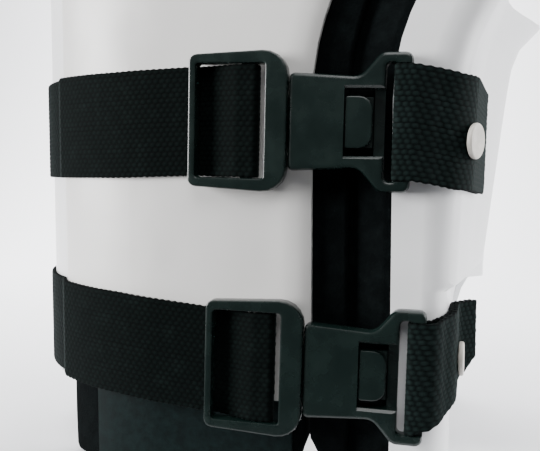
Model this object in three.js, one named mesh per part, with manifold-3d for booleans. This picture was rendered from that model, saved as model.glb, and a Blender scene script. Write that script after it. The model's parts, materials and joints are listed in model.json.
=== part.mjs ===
// Hip abduction brace, closed at the front by two webbing straps with fastened buckles.
// Millimetres, +Z up, front towards -Y. It stands on its lower rim at z = 0.

import * as THREE from 'three';
import { mergeVertices } from 'three/addons/utils/BufferGeometryUtils.js';
import Module from 'manifold-3d';

const wasm = await Module();
wasm.setup();

// Shells
const HALF_WIDTH = 100;
const HALF_DEPTH = 75;
const HEIGHT = 192;
const SIDE_HEIGHT = 180;
const SHELL_WALL = 3;
const CREASE_PAST_BUCKLE = 14.6;
const CREASE_RADIUS = 13;
const EDGE_RADIUS = 11;
const GAP_LEFT = 28.7;
const GAP_RIGHT = 57.3;
const PANEL_EDGE = -79.6;
const PANEL_LAP = 34;
const PANEL_THINNING = 8;
const PANEL_EDGE_WALL = 1.2;
const PANEL_BOTTOM = 34;
const ROLL = 3;
const ROLL_RUN = 11;
const CLEARANCE = 0.3;

// Lower trim of the wrap shell: a front tongue, a high cut on the right, a low one on the left
const TONGUE_RETURN = 28;
const RIGHT_CUT = 77.5;
const RIGHT_CUT_BACK = 66;
const LEFT_CUT = 32;
const LAP_CUT = 54;
const CUT_RADIUS = 13;
const RIGHT_CUT_RUN = 20;
const LEFT_CUT_INSET = 12;
const CUT_STEP = 6.5;
const CUT_STEP_RUN = 1.5;
const LEDGE = 2;
const TUCK = 3.4;
const TONGUE_TUCK = 6.5;

// Flare of the shells: the crown leans to the right, the right side slopes out and ends in a lip
const LEAN_FROM = 143;
const LEAN_TO = 177;
const LEAN = 9.4;
const SLOPE_FROM = 80;
const SIDE_SLOPE = 0.12;
const LIP_FROM = 163;
const LIP_RADIUS = 22;
const FLARE_SECTIONS = 13;

// Linings and the lower pad
const LINER = 4;
const LINER_LAP = 13;
const LINER_DEPTH = 58;
const MAIN_LINER_TUCK = 6;
const MAIN_LINER_DEPTH = 10;
const LINER_DROP = 2;
const PAD_LEFT = -85.4;
const PAD_SLANT = 3.2;
const PAD_RIGHT = 27;
const PAD_THICKNESS = 6;
const PAD_TOP = 51;
const PLATE_LEFT = -60.5;
const PLATE_RIGHT = 21.5;
const PLATE_THICKNESS = 2.5;
const PLATE_TOP = 47;
const PLATE_RADIUS = 6;
const PAD_RADIUS = 8;

// Webbing
const WEBBING_WIDTH = 38;
const WEBBING = 1.6;
const WEBBING_PLAY = 0.9;
const STRAP_REACH = 74;
const STRAP_RIVET_INSET = 14;
const STRAP_DROP = 4;
const STRAP_LANDING = 0.5;
const HOLD_RUN = 31;
const CHAPE_DROP_RUN = 6;
const HOLD_RELEASE = 4;
const UPPER_LEVEL = 134.8;
const LOWER_LEVEL = 47.5;
const LOWER_SHIFT = 5.5;

// Buckles, measured along the strap from the ring's left edge
const BUCKLE_LEFT = -14;
const RING_WIDTH = 35.6;
const RING_RIM = 5;
const RING_TAPER = 1.8;
const RING_DEPTH = 6;
const RING_LEFT_BAR = 2.8;
const RING_RIGHT_BAR = 8;
const RING_LEFT_RADIUS = 3;
const RING_RIGHT_RADIUS = 8.5;
const CENTRE_BAR = 4.6;
const CENTRE_BAR_DEPTH = 2.2;
const CENTRE_BAR_SLOT = 4.2;
const CENTRE_BAR_SINK = 1.1;
const BODY_HEIGHT = 34;
const BODY_TAPER = 1.5;
const BODY_DEPTH = 6.6;
const BODY_ROOF = 2.7;
const BODY_LENGTH = 24.6;
const FLARE_LENGTH = 7.4;
const YOKE_RIM = 3.7;
const YOKE_LENGTH = 10;
const SLOT_WIDTH = 4.5;
const END_BAR = 4.4;
const WINDOW_HEIGHT = 23;
const WINDOW_LENGTH = 13.8;
const WINDOW_BEVEL = 0.9;
const WINDOW_FLOOR = 1.2;
const TONGUE_HEIGHT = 17.2;
const TONGUE_DEPTH = 2;
const TAB_LENGTH = 9.4;
const TAB_HEIGHT = 17.8;
const TAB_RADIUS = 4.6;
const TAB_SINK = 0.4;
const TAB_BEVEL = 0.7;
const RING_BEVEL = 0.9;
const RECEIVER_BEVEL = 1.6;

// Rivets
const CAP_RADIUS = 6.2;
const CAP_HEIGHT = 1.8;
const CAP_RIM = 0.8;
const SHANK_RADIUS = 2.2;
const BACK_RADIUS = 4.5;
const BACK_HEIGHT = 1;
const BACK_PLAY = 1.4;
const RIVET_SIDES = 16;

// The buckle's heights about the webbing, and where its parts end, from the left
const slotHeight = WEBBING_WIDTH + 2 * WEBBING_PLAY;
const ringHeight = slotHeight + 2 * RING_RIM;
const yokeHeight = slotHeight + 2 * YOKE_RIM;
const ringRight = BUCKLE_LEFT + RING_WIDTH;
const bodyLeft = ringRight + CLEARANCE;
const bodyRight = bodyLeft + BODY_LENGTH;
const yokeLeft = bodyRight + FLARE_LENGTH;
const yokeRight = yokeLeft + YOKE_LENGTH;

// Corners of the plan, as shares of the half width and half depth, with their radii
const PLAN_CORNERS = [
  { name: 'crease', across: (yokeRight + CREASE_PAST_BUCKLE) / HALF_WIDTH, back: -1, radius: CREASE_RADIUS },
  { name: 'right_side', across: 0.955, back: 0.27, radius: 0.53 * HALF_DEPTH },
  { name: 'back_right', across: 0.8, back: 1, radius: 0.53 * HALF_DEPTH },
  { name: 'back_left', across: -0.88, back: 1, radius: 0.73 * HALF_DEPTH },
  { name: 'front_left', across: -1.24, back: -1, radius: HALF_DEPTH },
];

// How far each stretch of the plan follows the crown's lean and the side's slope
const FLARE_WEIGHTS = [
  { at: 'panel_edge', lean: 0, slope: 0, lip: 0 },
  { at: 'gap_left', lean: 0.66, slope: 0, lip: 0 },
  { at: 'liner_edge', lean: 0.66, slope: 0, lip: 0 },
  { at: 'gap_right', lean: 0.86, slope: 0, lip: 0 },
  { at: 'crease', lean: 1.05, slope: 0.3, lip: 0 },
  { at: 'side_front', lean: 0.5, slope: 0.2, lip: 0.2 },
  { at: 'right_side', lean: 0.15, slope: 1, lip: 1 },
  { at: 'back_right', lean: 0, slope: 0.6, lip: 0.4 },
  { at: 'back_left', lean: 0, slope: 0, lip: 0 },
];

// The notch that the liner leaves below the gap: past the gap's edge as a share of the lap,
// up as a share of the lapped wall's lower edge
const NOTCH = [
  { past: -0.09, up: 1 },
  { past: -0.05, up: 0.46 },
  { past: 0.18, up: 0.35 },
  { past: 0.54, up: 0 },
];

// The pad's lower edge: place along the plan and height above the rim
const PAD_FOOT = [
  { at: PAD_LEFT, up: PAD_TOP - PAD_RADIUS },
  { at: PAD_LEFT + PAD_SLANT, up: 0 },
  { at: 22, up: 0 },
  { at: 24.5, up: 19 },
  { at: PAD_RIGHT, up: 25 },
];

const FINISHES = {
  shell: new THREE.MeshStandardMaterial({ color: 0xe2e1dd, roughness: 0.42, metalness: 0 }),
  foam: new THREE.MeshStandardMaterial({ color: 0x0c0f12, roughness: 0.95, metalness: 0 }),
  webbing: new THREE.MeshStandardMaterial({ color: 0x101716, roughness: 0.85, metalness: 0 }),
  buckle: new THREE.MeshStandardMaterial({ color: 0x1c2725, roughness: 0.45, metalness: 0 }),
  plate: new THREE.MeshStandardMaterial({ color: 0x27332f, roughness: 0.55, metalness: 0 }),
  rivet: new THREE.MeshStandardMaterial({ color: 0xcbc7c0, roughness: 0.4, metalness: 0.2 }),
};

// Paths

// A path of straight stretches whose corners are rounded by arcs, as a list of points.
function roundedPath(corners, { loop = false, arcStep = THREE.MathUtils.degToRad(9) } = {}) {
  const points = [];
  corners.forEach((corner, i) => {
    const here = new THREE.Vector2(corner.x, corner.y);
    const ends = !loop && (i === 0 || i === corners.length - 1);
    if (ends || !corner.radius) {
      points.push(here);
      return;
    }
    const before = corners[(i + corners.length - 1) % corners.length];
    const after = corners[(i + 1) % corners.length];
    const into = new THREE.Vector2(before.x, before.y).sub(here).normalize();
    const out = new THREE.Vector2(after.x, after.y).sub(here).normalize();
    const half = Math.acos(THREE.MathUtils.clamp(into.dot(out), -1, 1)) / 2;
    const centre = here.clone().add(
      into.clone().add(out).normalize().multiplyScalar(corner.radius / Math.sin(half)),
    );
    const start = here.clone().addScaledVector(into, corner.radius / Math.tan(half));
    const turn = Math.PI - 2 * half;
    const sense = Math.sign(out.x * into.y - out.y * into.x);
    const steps = Math.max(2, Math.ceil(turn / arcStep));
    for (let step = 0; step <= steps; step += 1) {
      const point = start.clone().rotateAround(centre, (sense * turn * step) / steps);
      point.corner = corner.name;
      points.push(point);
    }
  });
  return points;
}

// A closed plan seen from above, counter-clockwise, measured by length from its first side.
class Plan {
  constructor(corners) {
    this.points = roundedPath(corners, { loop: true, arcStep: THREE.MathUtils.degToRad(3) });
    const front = this.points[this.points.length - 1];
    this.points.unshift(new THREE.Vector2(0, front.y));
    this.points.push(this.points[0].clone());
    this.lengths = [0];
    for (let i = 1; i < this.points.length; i += 1) {
      this.lengths.push(this.lengths[i - 1] + this.points[i].distanceTo(this.points[i - 1]));
    }
    this.length = this.lengths[this.lengths.length - 1];
  }

  // Where a named corner begins and ends along the plan
  corner(name) {
    const inside = this.lengths.filter((_, i) => this.points[i].corner === name);
    return { start: inside[0], end: inside[inside.length - 1] };
  }

  segment(along) {
    const wrapped = THREE.MathUtils.euclideanModulo(along, this.length);
    const next = this.lengths.findIndex((length) => length > wrapped);
    const last = next < 1 ? this.points.length - 1 : next;
    const from = this.points[last - 1];
    const to = this.points[last];
    const share = (wrapped - this.lengths[last - 1]) / (this.lengths[last] - this.lengths[last - 1]);
    return { from, to, share };
  }

  at(along) {
    const { from, to, share } = this.segment(along);
    return from.clone().lerp(to, share);
  }

  // The way out of the shell, smoothed over a short stretch so that offset walls stay even
  outward(along) {
    const reach = 1;
    const tangent = this.at(along + reach).sub(this.at(along - reach)).normalize();
    return new THREE.Vector2(tangent.y, -tangent.x);
  }
}

const plan = new Plan(
  PLAN_CORNERS.map(({ name, across, back, radius }) => (
    { name, x: across * HALF_WIDTH, y: back * HALF_DEPTH, radius }
  )),
);
const crease = plan.corner('crease');
const rightSide = plan.corner('right_side');
const backRight = plan.corner('back_right');
const backLeft = plan.corner('back_left');
const middle = ({ start, end }) => (start + end) / 2;

// Shape of the shells

const flarePlaces = {
  panel_edge: PANEL_EDGE,
  gap_left: GAP_LEFT,
  liner_edge: GAP_LEFT + LINER_LAP,
  gap_right: GAP_RIGHT,
  crease: middle(crease),
  side_front: (crease.end + middle(rightSide)) / 2,
  right_side: middle(rightSide),
  back_right: middle(backRight),
  back_left: middle(backLeft),
};

// Piecewise linear reading of a table of [place, value] rows in rising order
function reading(rows, place) {
  const next = rows.findIndex(([at]) => at > place);
  if (next === 0) return rows[0][1];
  if (next < 0) return rows[rows.length - 1][1];
  const [from, low] = rows[next - 1];
  const [to, high] = rows[next];
  return low + ((high - low) * (place - from)) / (to - from);
}

// The same reading, but level at every row, so that the surface has no kink there
function easedReading(rows, place) {
  const next = rows.findIndex(([at]) => at > place);
  if (next < 1) return reading(rows, place);
  const [from, low] = rows[next - 1];
  const [to, high] = rows[next];
  return low + (high - low) * THREE.MathUtils.smoothstep(place, from, to);
}

// The flare's tables by place, and how far the wall is tucked in below the leg cut's ledge
const leanRows = FLARE_WEIGHTS.map(({ at, lean }) => [flarePlaces[at], lean]);
const slopeRows = FLARE_WEIGHTS.map(({ at, slope }) => [flarePlaces[at], slope]);
const lipRows = FLARE_WEIGHTS.map(({ at, lip }) => [flarePlaces[at], lip]);
const tuckRows = [
  [crease.start, 0], [crease.end, TUCK], [crease.end + TONGUE_RETURN, TONGUE_TUCK],
  [middle(rightSide), 0],
];

// Places are counted once round from the panel's edge, in the order of the table
const onceRound = (along) => (
  THREE.MathUtils.euclideanModulo(along - PANEL_EDGE, plan.length) + PANEL_EDGE
);

function sideways(along, height, ledge = RIGHT_CUT) {
  const place = onceRound(along);
  const lean = LEAN * (Math.max(0, height - LEAN_FROM) / (LEAN_TO - LEAN_FROM)) ** 2;
  const slope = SIDE_SLOPE * Math.max(0, height - SLOPE_FROM);
  const rolled = THREE.MathUtils.clamp(height - LIP_FROM, 0, 0.8 * LIP_RADIUS);
  const lip = LIP_RADIUS - Math.sqrt(LIP_RADIUS ** 2 - rolled ** 2);
  const below = THREE.MathUtils.clamp((ledge - height) / LEDGE, 0, 1);
  const tuck = below * reading(tuckRows, place);
  return lean * easedReading(leanRows, place) + slope * easedReading(slopeRows, place)
    + lip * easedReading(lipRows, place) - tuck;
}

// A point off the shells' outer face: along the plan, out from the face, at a height.
// The share says how much of the flare it follows.
function onShell(along, out, height, { ledge, share = 1 } = {}) {
  const point = plan.at(along).addScaledVector(plan.outward(along), out);
  return new THREE.Vector3(point.x + share * sideways(along, height, ledge), point.y, height);
}

// How far a rounded corner stays back at a distance from its edge
function cornerDrop(distance, radius) {
  if (distance >= radius) return 0;
  return radius - Math.sqrt(radius ** 2 - (radius - Math.max(0, distance)) ** 2);
}

// Solids

// Shared corners merged, triangles of no area dropped and faces turned outwards
function closed(geometry) {
  const bare = new THREE.BufferGeometry();
  bare.setAttribute('position', geometry.getAttribute('position'));
  if (geometry.index) bare.setIndex(geometry.index);
  const merged = mergeVertices(bare, 1e-4);
  const position = merged.getAttribute('position');
  const kept = [];
  let volume = 0;
  const [a, b, c] = [new THREE.Vector3(), new THREE.Vector3(), new THREE.Vector3()];
  for (let i = 0; i < merged.index.count; i += 3) {
    const triangle = [0, 1, 2].map((k) => merged.index.getX(i + k));
    if (new Set(triangle).size < 3) continue;
    kept.push(triangle);
    a.fromBufferAttribute(position, triangle[0]);
    b.fromBufferAttribute(position, triangle[1]);
    c.fromBufferAttribute(position, triangle[2]);
    volume += a.dot(b.cross(c));
  }
  if (volume < 0) kept.forEach((triangle) => triangle.reverse());
  merged.setIndex(kept.flat());
  return merged;
}

// A solid drawn through sections. Each section goes up its outer side and down its inner side.
function loft(sections) {
  const count = sections[0].length;
  const positions = sections.flat().flatMap((point) => point.toArray());
  const index = [];
  const quad = (p, q, r, s) => index.push(p, q, r, p, r, s);
  for (let i = 0; i + 1 < sections.length; i += 1) {
    for (let j = 0; j < count; j += 1) {
      const up = (j + 1) % count;
      quad(i * count + j, (i + 1) * count + j, (i + 1) * count + up, i * count + up);
    }
  }
  const last = (sections.length - 1) * count;
  for (let j = 0; j + 1 < count / 2; j += 1) {
    const across = count - 1 - j;
    quad(j, j + 1, across - 1, across);
    quad(last + j, last + across, last + across - 1, last + j + 1);
  }
  const geometry = new THREE.BufferGeometry();
  geometry.setAttribute('position', new THREE.Float32BufferAttribute(positions, 3));
  geometry.setIndex(index);
  return closed(geometry);
}

function toManifold(geometry) {
  const solid = closed(geometry);
  return new wasm.Manifold(new wasm.Mesh({
    numProp: 3,
    vertProperties: new Float32Array(solid.getAttribute('position').array),
    triVerts: new Uint32Array(solid.index.array),
  }));
}

function fromManifold(solid) {
  const { vertProperties, triVerts } = solid.getMesh();
  const geometry = new THREE.BufferGeometry();
  geometry.setAttribute('position', new THREE.Float32BufferAttribute(vertProperties, 3));
  geometry.setIndex(Array.from(triVerts));
  return closed(geometry);
}

const joined = (...parts) => fromManifold(
  parts.map(toManifold).reduce((whole, part) => whole.add(part)),
);
const cut = (geometry, ...tools) => fromManifold(
  tools.map(toManifold).reduce((whole, tool) => whole.subtract(tool), toManifold(geometry)),
);

function named(name, geometry, finish) {
  const mesh = new THREE.Mesh(closed(geometry), finish);
  mesh.name = name;
  return mesh;
}

// Places where any wall has a section: evenly over each rounded corner, and at its two ends
const turnStations = PLAN_CORNERS.flatMap(({ name }) => {
  const { start, end } = plan.corner(name);
  const turned = plan.outward(start).angleTo(plan.outward(end));
  const steps = Math.ceil(turned / THREE.MathUtils.degToRad(9));
  return Array.from({ length: steps + 1 }, (_, i) => start + ((end - start) * i) / steps);
});

// The sections of one wall, none closer to another than a short step
function stations(from, to, extra = []) {
  const within = (along) => along > from && along < to;
  const shared = [-plan.length, 0, plan.length]
    .flatMap((round) => turnStations.map((along) => along + round))
    .filter(within);
  const own = extra.filter(within);
  const fixed = [from, to, ...own];
  const spare = shared.filter((along) => fixed.every((other) => Math.abs(other - along) > 0.8));
  return [...new Set([...fixed, ...spare])].sort((p, q) => p - q);
}

// Stations that follow a rounded corner of a given radius at either end of a wall
const roundingStations = (from, to, radius) => [0.05, 0.2, 0.45, 1].flatMap(
  (share) => [from + share * radius, to - share * radius],
);

// A curved wall between two offsets, cut to a lower and an upper edge
function wall({ along, rows, bottom, top, outer, inner }) {
  return loft(along.map((place) => {
    const heights = rows.map((row) => THREE.MathUtils.clamp(row, bottom(place), top(place)));
    const outside = heights.map((height) => onShell(place, outer(place), height));
    const inside = heights.map(
      (height) => onShell(place, inner(place), height, { ledge: RIGHT_CUT + SHELL_WALL }),
    );
    return [...outside, ...inside.reverse()];
  }));
}

// Sections every short stretch where the side flares out and the plan runs straight
const flareStations = Array.from(
  { length: FLARE_SECTIONS - 1 },
  (_, i) => crease.end + ((backRight.start - crease.end) * (i + 1)) / FLARE_SECTIONS,
);

// Shells

const crownRows = [
  LEAN_FROM,
  (LEAN_FROM + LIP_FROM) / 2,
  LIP_FROM,
  (LIP_FROM + SIDE_HEIGHT) / 2,
  SIDE_HEIGHT,
  HEIGHT - EDGE_RADIUS / 2,
  HEIGHT,
].sort((low, high) => low - high);
const lapOut = -SHELL_WALL - CLEARANCE;
const lapEnd = plan.length + PANEL_EDGE + PANEL_LAP;
const panelEdge = plan.length + PANEL_EDGE;

function mainShell() {
  const tongueEnd = crease.end + TONGUE_RETURN;
  const rightCutEnd = middle(backRight);
  const leftCutStart = backLeft.end + LEFT_CUT_INSET;
  const lowerTrim = roundedPath([
    { x: GAP_RIGHT, y: 0 },
    { x: tongueEnd, y: 0, radius: CUT_RADIUS / 2 },
    { x: tongueEnd + CUT_STEP_RUN, y: RIGHT_CUT - LEDGE, radius: CUT_RADIUS },
    { x: rightCutEnd - RIGHT_CUT_RUN, y: RIGHT_CUT_BACK, radius: 2 * CUT_RADIUS },
    { x: rightCutEnd, y: 0, radius: CUT_RADIUS },
    { x: leftCutStart, y: 0, radius: CUT_RADIUS / 2 },
    { x: leftCutStart + LEFT_CUT / 2, y: LEFT_CUT, radius: CUT_RADIUS / 2 },
    { x: panelEdge - 2 * CUT_STEP, y: LEFT_CUT, radius: 2 * CUT_STEP_RUN },
    { x: panelEdge - CUT_STEP, y: LAP_CUT, radius: 2 * CUT_STEP_RUN },
    { x: lapEnd, y: LAP_CUT },
  ], { arcStep: THREE.MathUtils.degToRad(30) }).map((point) => [point.x, point.y]);
  const crown = [
    [GAP_RIGHT, HEIGHT], [crease.start, HEIGHT], [middle(rightSide), SIDE_HEIGHT],
    [backRight.start, SIDE_HEIGHT], [backRight.end, HEIGHT], [lapEnd, HEIGHT],
  ];
  const shellOut = [
    [GAP_RIGHT, 0], [backRight.end, 0], [backLeft.start, lapOut], [lapEnd, lapOut],
  ];
  const outer = (place) => reading(shellOut, place);
  const along = stations(GAP_RIGHT, lapEnd, [
    ...lowerTrim.map(([place]) => place),
    ...crown.map(([place]) => place),
    ...roundingStations(GAP_RIGHT, lapEnd, EDGE_RADIUS),
    ...flareStations,
  ]);
  return wall({
    along,
    rows: [
      0, RIGHT_CUT - LEDGE, RIGHT_CUT, RIGHT_CUT + SHELL_WALL - LEDGE, RIGHT_CUT + SHELL_WALL,
      ...crownRows,
    ],
    bottom: (place) => reading(lowerTrim, place),
    top: (place) => reading(crown, place)
      - cornerDrop(Math.min(place - GAP_RIGHT, lapEnd - place), EDGE_RADIUS),
    outer,
    inner: (place) => outer(place) - SHELL_WALL,
  });
}

// The panel's edge at the gap is rolled inwards, and what lies behind it goes in as far
const roll = (along) => ROLL * THREE.MathUtils.clamp(1 + (along - GAP_LEFT) / ROLL_RUN, 0, 1) ** 2;
const rollStations = [0, 0.2, 0.45, 1].map((share) => GAP_LEFT - share * ROLL_RUN);

// The panel is thinned towards its left edge, where the straps pass over it
const thinning = (along) => (SHELL_WALL - PANEL_EDGE_WALL)
  * Math.max(0, 1 - (along - PANEL_EDGE) / PANEL_THINNING) ** 2;

function frontPanel() {
  const edge = (place) => Math.min(place - PANEL_EDGE, GAP_LEFT - place);
  return wall({
    along: stations(
      PANEL_EDGE, GAP_LEFT, [...roundingStations(PANEL_EDGE, GAP_LEFT, EDGE_RADIUS), ...rollStations],
    ),
    rows: [PANEL_BOTTOM, ...crownRows],
    bottom: (place) => PANEL_BOTTOM + cornerDrop(edge(place), EDGE_RADIUS),
    top: (place) => HEIGHT - cornerDrop(edge(place), EDGE_RADIUS),
    outer: (place) => -thinning(place) - roll(place),
    inner: (place) => -SHELL_WALL - roll(place),
  });
}

// Linings

const linerOut = -SHELL_WALL - CLEARANCE;
const linerIn = linerOut - LINER;
const linerEdge = GAP_LEFT + LINER_LAP;

function panelLiner() {
  const from = linerEdge - LINER_LAP - LINER_DEPTH;
  const trim = [
    [from, LAP_CUT],
    ...NOTCH.map(({ past, up }) => [GAP_LEFT + past * LINER_LAP, up * LAP_CUT]),
    [linerEdge, 0],
  ];
  return wall({
    along: stations(from, linerEdge, [...trim.map(([place]) => place), ...rollStations]),
    rows: [0, ...crownRows],
    bottom: (place) => reading(trim, place),
    top: () => HEIGHT - LINER_DROP,
    outer: (place) => linerOut - roll(place),
    inner: (place) => linerIn - roll(place),
  });
}

function mainLiner() {
  const from = linerEdge - MAIN_LINER_TUCK;
  const to = GAP_RIGHT + MAIN_LINER_DEPTH;
  const under = [[linerEdge + 1, linerIn - CLEARANCE - ROLL], [GAP_RIGHT - 3, linerOut]];
  const outer = (place) => reading(under, place);
  return wall({
    along: stations(from, to, under.map(([place]) => place)),
    rows: [0, ...crownRows],
    bottom: () => 0,
    top: () => HEIGHT - LINER_DROP,
    outer,
    inner: (place) => outer(place) - LINER,
  });
}

// Pad and plate below the panel

const plateOut = -SHELL_WALL - CLEARANCE;
const plateIn = plateOut - PLATE_THICKNESS;

// The foot lists where the lower edge rises above the rim, from the left
function lowerBoard({ from, to, top, outer, thickness, radius, foot }) {
  const edge = (place) => Math.min(place - from, to - place);
  return wall({
    along: stations(
      from,
      to,
      [...roundingStations(from, to, radius), ...rollStations, ...foot.map(([at]) => at)],
    ),
    rows: [0, top - radius, top],
    bottom: (place) => reading(foot, place),
    top: (place) => top - cornerDrop(edge(place), radius),
    outer: (place) => outer - roll(place),
    inner: (place) => outer - thickness - roll(place),
  });
}

const lowerPlate = () => lowerBoard({
  from: PLATE_LEFT,
  to: PLATE_RIGHT,
  top: PLATE_TOP,
  outer: plateOut,
  thickness: PLATE_THICKNESS,
  radius: PLATE_RADIUS,
  foot: [[PLATE_LEFT, 0], [PLATE_RIGHT, 0]],
});
const lowerPad = () => lowerBoard({
  from: PAD_LEFT,
  to: PAD_RIGHT,
  top: PAD_TOP,
  outer: plateIn - CLEARANCE,
  thickness: PAD_THICKNESS,
  radius: PAD_RADIUS,
  foot: PAD_FOOT.map(({ at, up }) => [at, up]),
});

// Webbing

// A flat band whose middle line is given along the plan and out from the shell's face.
// Where a buckle holds it, it is tilted with the buckle and does not follow the flare.
function band(line, { lowerEdge, upperEdge, hold, slope }) {
  return loft(line.map((point, i) => {
    const before = line[Math.max(0, i - 1)];
    const after = line[Math.min(line.length - 1, i + 1)];
    const tangent = after.clone().sub(before).normalize();
    const across = new THREE.Vector2(-tangent.y, tangent.x).multiplyScalar(WEBBING / 2);
    const outside = point.clone().add(across);
    const inside = point.clone().sub(across);
    const low = lowerEdge(point.x);
    const high = upperEdge(point.x);
    const aside = (-slope * hold(point.x) * (high - low)) / 2;
    const share = 1 - hold(point.x);
    return [
      onShell(outside.x - aside, outside.y, low, { share }),
      onShell(outside.x + aside, outside.y, high, { share }),
      onShell(inside.x + aside, inside.y, high, { share }),
      onShell(inside.x - aside, inside.y, low, { share }),
    ];
  }));
}

// A band's middle line: it follows the plan and has a point wherever the band's level turns
function followed(corners, places) {
  const rough = roundedPath(corners, { arcStep: THREE.MathUtils.degToRad(20) })
    .filter((point, i, points) => i === 0 || point.distanceTo(points[i - 1]) > 0.05);
  const line = [rough[0]];
  for (let i = 1; i < rough.length; i += 1) {
    const [from, to] = [rough[i - 1], rough[i]];
    const reach = to.x - from.x;
    if (Math.abs(reach) > 6) {
      const ends = [from.x, to.x].sort((p, q) => p - q);
      const between = stations(...ends, places).slice(1, -1);
      if (reach < 0) between.reverse();
      between.forEach((along) => {
        line.push(from.clone().lerp(to, (along - from.x) / reach));
      });
    }
    line.push(to);
  }
  return line;
}

const strapMiddle = CLEARANCE + WEBBING / 2;
const ringBack = 2 * CLEARANCE + WEBBING;
const barLeft = ringRight - RING_RIGHT_BAR - CENTRE_BAR_SLOT - CENTRE_BAR;
const barRight = barLeft + CENTRE_BAR;
const barBack = ringBack + CENTRE_BAR_SINK;
const barFront = barBack + CENTRE_BAR_DEPTH;
const strapEnd = PANEL_EDGE - STRAP_REACH;
const wrap = CLEARANCE + WEBBING / 2;

// From the left side over the panel's edge, under the ring's left bar and round its centre bar
function strap(shift, course) {
  const lapStep = SHELL_WALL + CLEARANCE;
  const edgeStep = SHELL_WALL - PANEL_EDGE_WALL;
  const line = followed([
    { x: strapEnd, y: strapMiddle - lapStep },
    { x: PANEL_EDGE - STRAP_DROP, y: strapMiddle - lapStep, radius: 6 },
    { x: PANEL_EDGE - STRAP_LANDING, y: strapMiddle - edgeStep, radius: 3 },
    { x: PANEL_EDGE + PANEL_THINNING / 2, y: strapMiddle, radius: 3 },
    { x: BUCKLE_LEFT + RING_LEFT_BAR + 1 + shift, y: strapMiddle, radius: 4 },
    { x: barLeft - 1.5 + shift, y: barFront + wrap, radius: 4 },
    { x: barRight + wrap + shift, y: barFront + wrap, radius: 1.3 },
    { x: barRight + wrap + shift, y: barBack - wrap, radius: 1.3 },
    { x: barLeft + 1 + shift, y: barBack - wrap },
  ], course.places);
  return band(line, course);
}

// Buckles, drawn along the strap (x), up (y) and out from the front face (z)

const onFront = new THREE.Matrix4().makeBasis(
  new THREE.Vector3(1, 0, 0),
  new THREE.Vector3(0, 0, 1),
  new THREE.Vector3(0, -1, 0),
);

function outline(corners) {
  return new THREE.Shape(roundedPath(corners, { loop: true, arcStep: THREE.MathUtils.degToRad(23) }));
}

function rectangle(left, right, low, high, leftRadius, rightRadius = leftRadius) {
  return [
    { x: left, y: low, radius: leftRadius },
    { x: right, y: low, radius: rightRadius },
    { x: right, y: high, radius: rightRadius },
    { x: left, y: high, radius: leftRadius },
  ];
}

// A plate with its front edges bevelled, lying between two depths
function plate(shape, back, front, bevel) {
  const geometry = new THREE.ExtrudeGeometry(shape, {
    depth: front - back - 2 * bevel,
    bevelEnabled: bevel > 0,
    bevelThickness: bevel,
    bevelSize: bevel,
    bevelOffset: -bevel,
    bevelSegments: 2,
    steps: 1,
  });
  return geometry.translate(0, 0, back + bevel);
}

function block(left, right, low, high, back, front) {
  const geometry = new THREE.BoxGeometry(right - left, high - low, front - back);
  return geometry.translate((left + right) / 2, (low + high) / 2, (back + front) / 2);
}

// A block that widens towards its front at 45 degrees, above and below
function funnel(left, right, low, high, back, front) {
  const geometry = block(left, right, low, high, back, front + 1);
  const { position } = geometry.attributes;
  const middle = (low + high) / 2;
  for (let index = 0; index < position.count; index += 1) {
    const y = position.getY(index);
    const spread = position.getZ(index) > front ? front + 1 - back : 0;
    position.setY(index, y + Math.sign(y - middle) * spread);
  }
  return geometry;
}

const slotRight = yokeRight - END_BAR;
const slotLeft = slotRight - SLOT_WIDTH;
const windowRight = slotLeft;
const windowLeft = windowRight - WINDOW_LENGTH;
const bodyBack = 2 * CLEARANCE;
const bodyFront = bodyBack + BODY_DEPTH;
const roofBack = bodyFront - BODY_ROOF;
const tongueFront = roofBack - CLEARANCE;
const tongueBack = tongueFront - TONGUE_DEPTH;
const tabLeft = windowLeft + CLEARANCE;
const tabRight = tabLeft + TAB_LENGTH;

function ringBuckle() {
  const half = ringHeight / 2;
  const leftShare = 1 - (2 * RING_TAPER) / ringHeight;
  const windowHalf = slotHeight / 2;
  const frame = outline(
    rectangle(BUCKLE_LEFT, ringRight, -half, half, RING_LEFT_RADIUS, RING_RIGHT_RADIUS)
      .map(({ x, y, radius }) => ({ x, y: x === ringRight ? y : y * leftShare, radius })),
  );
  const window = rectangle(
    BUCKLE_LEFT + RING_LEFT_BAR, ringRight - RING_RIGHT_BAR, -windowHalf, windowHalf, 1,
  );
  frame.holes.push(outline(window));
  const bar = block(barLeft, barRight, -windowHalf - 2, windowHalf + 2, barBack, barFront);
  const tongueHalf = TONGUE_HEIGHT / 2;
  const tongue = block(
    ringRight - 2, tabRight, -tongueHalf, tongueHalf, tongueBack, tongueFront,
  );
  const tabHalf = TAB_HEIGHT / 2;
  const tab = plate(
    outline(rectangle(tabLeft, tabRight, -tabHalf, tabHalf, TAB_BEVEL + 0.1, TAB_RADIUS)),
    tongueBack + TAB_SINK,
    bodyFront - TAB_SINK,
    TAB_BEVEL,
  );
  return joined(plate(frame, ringBack, ringBack + RING_DEPTH, RING_BEVEL), bar, tongue, tab);
}

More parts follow.
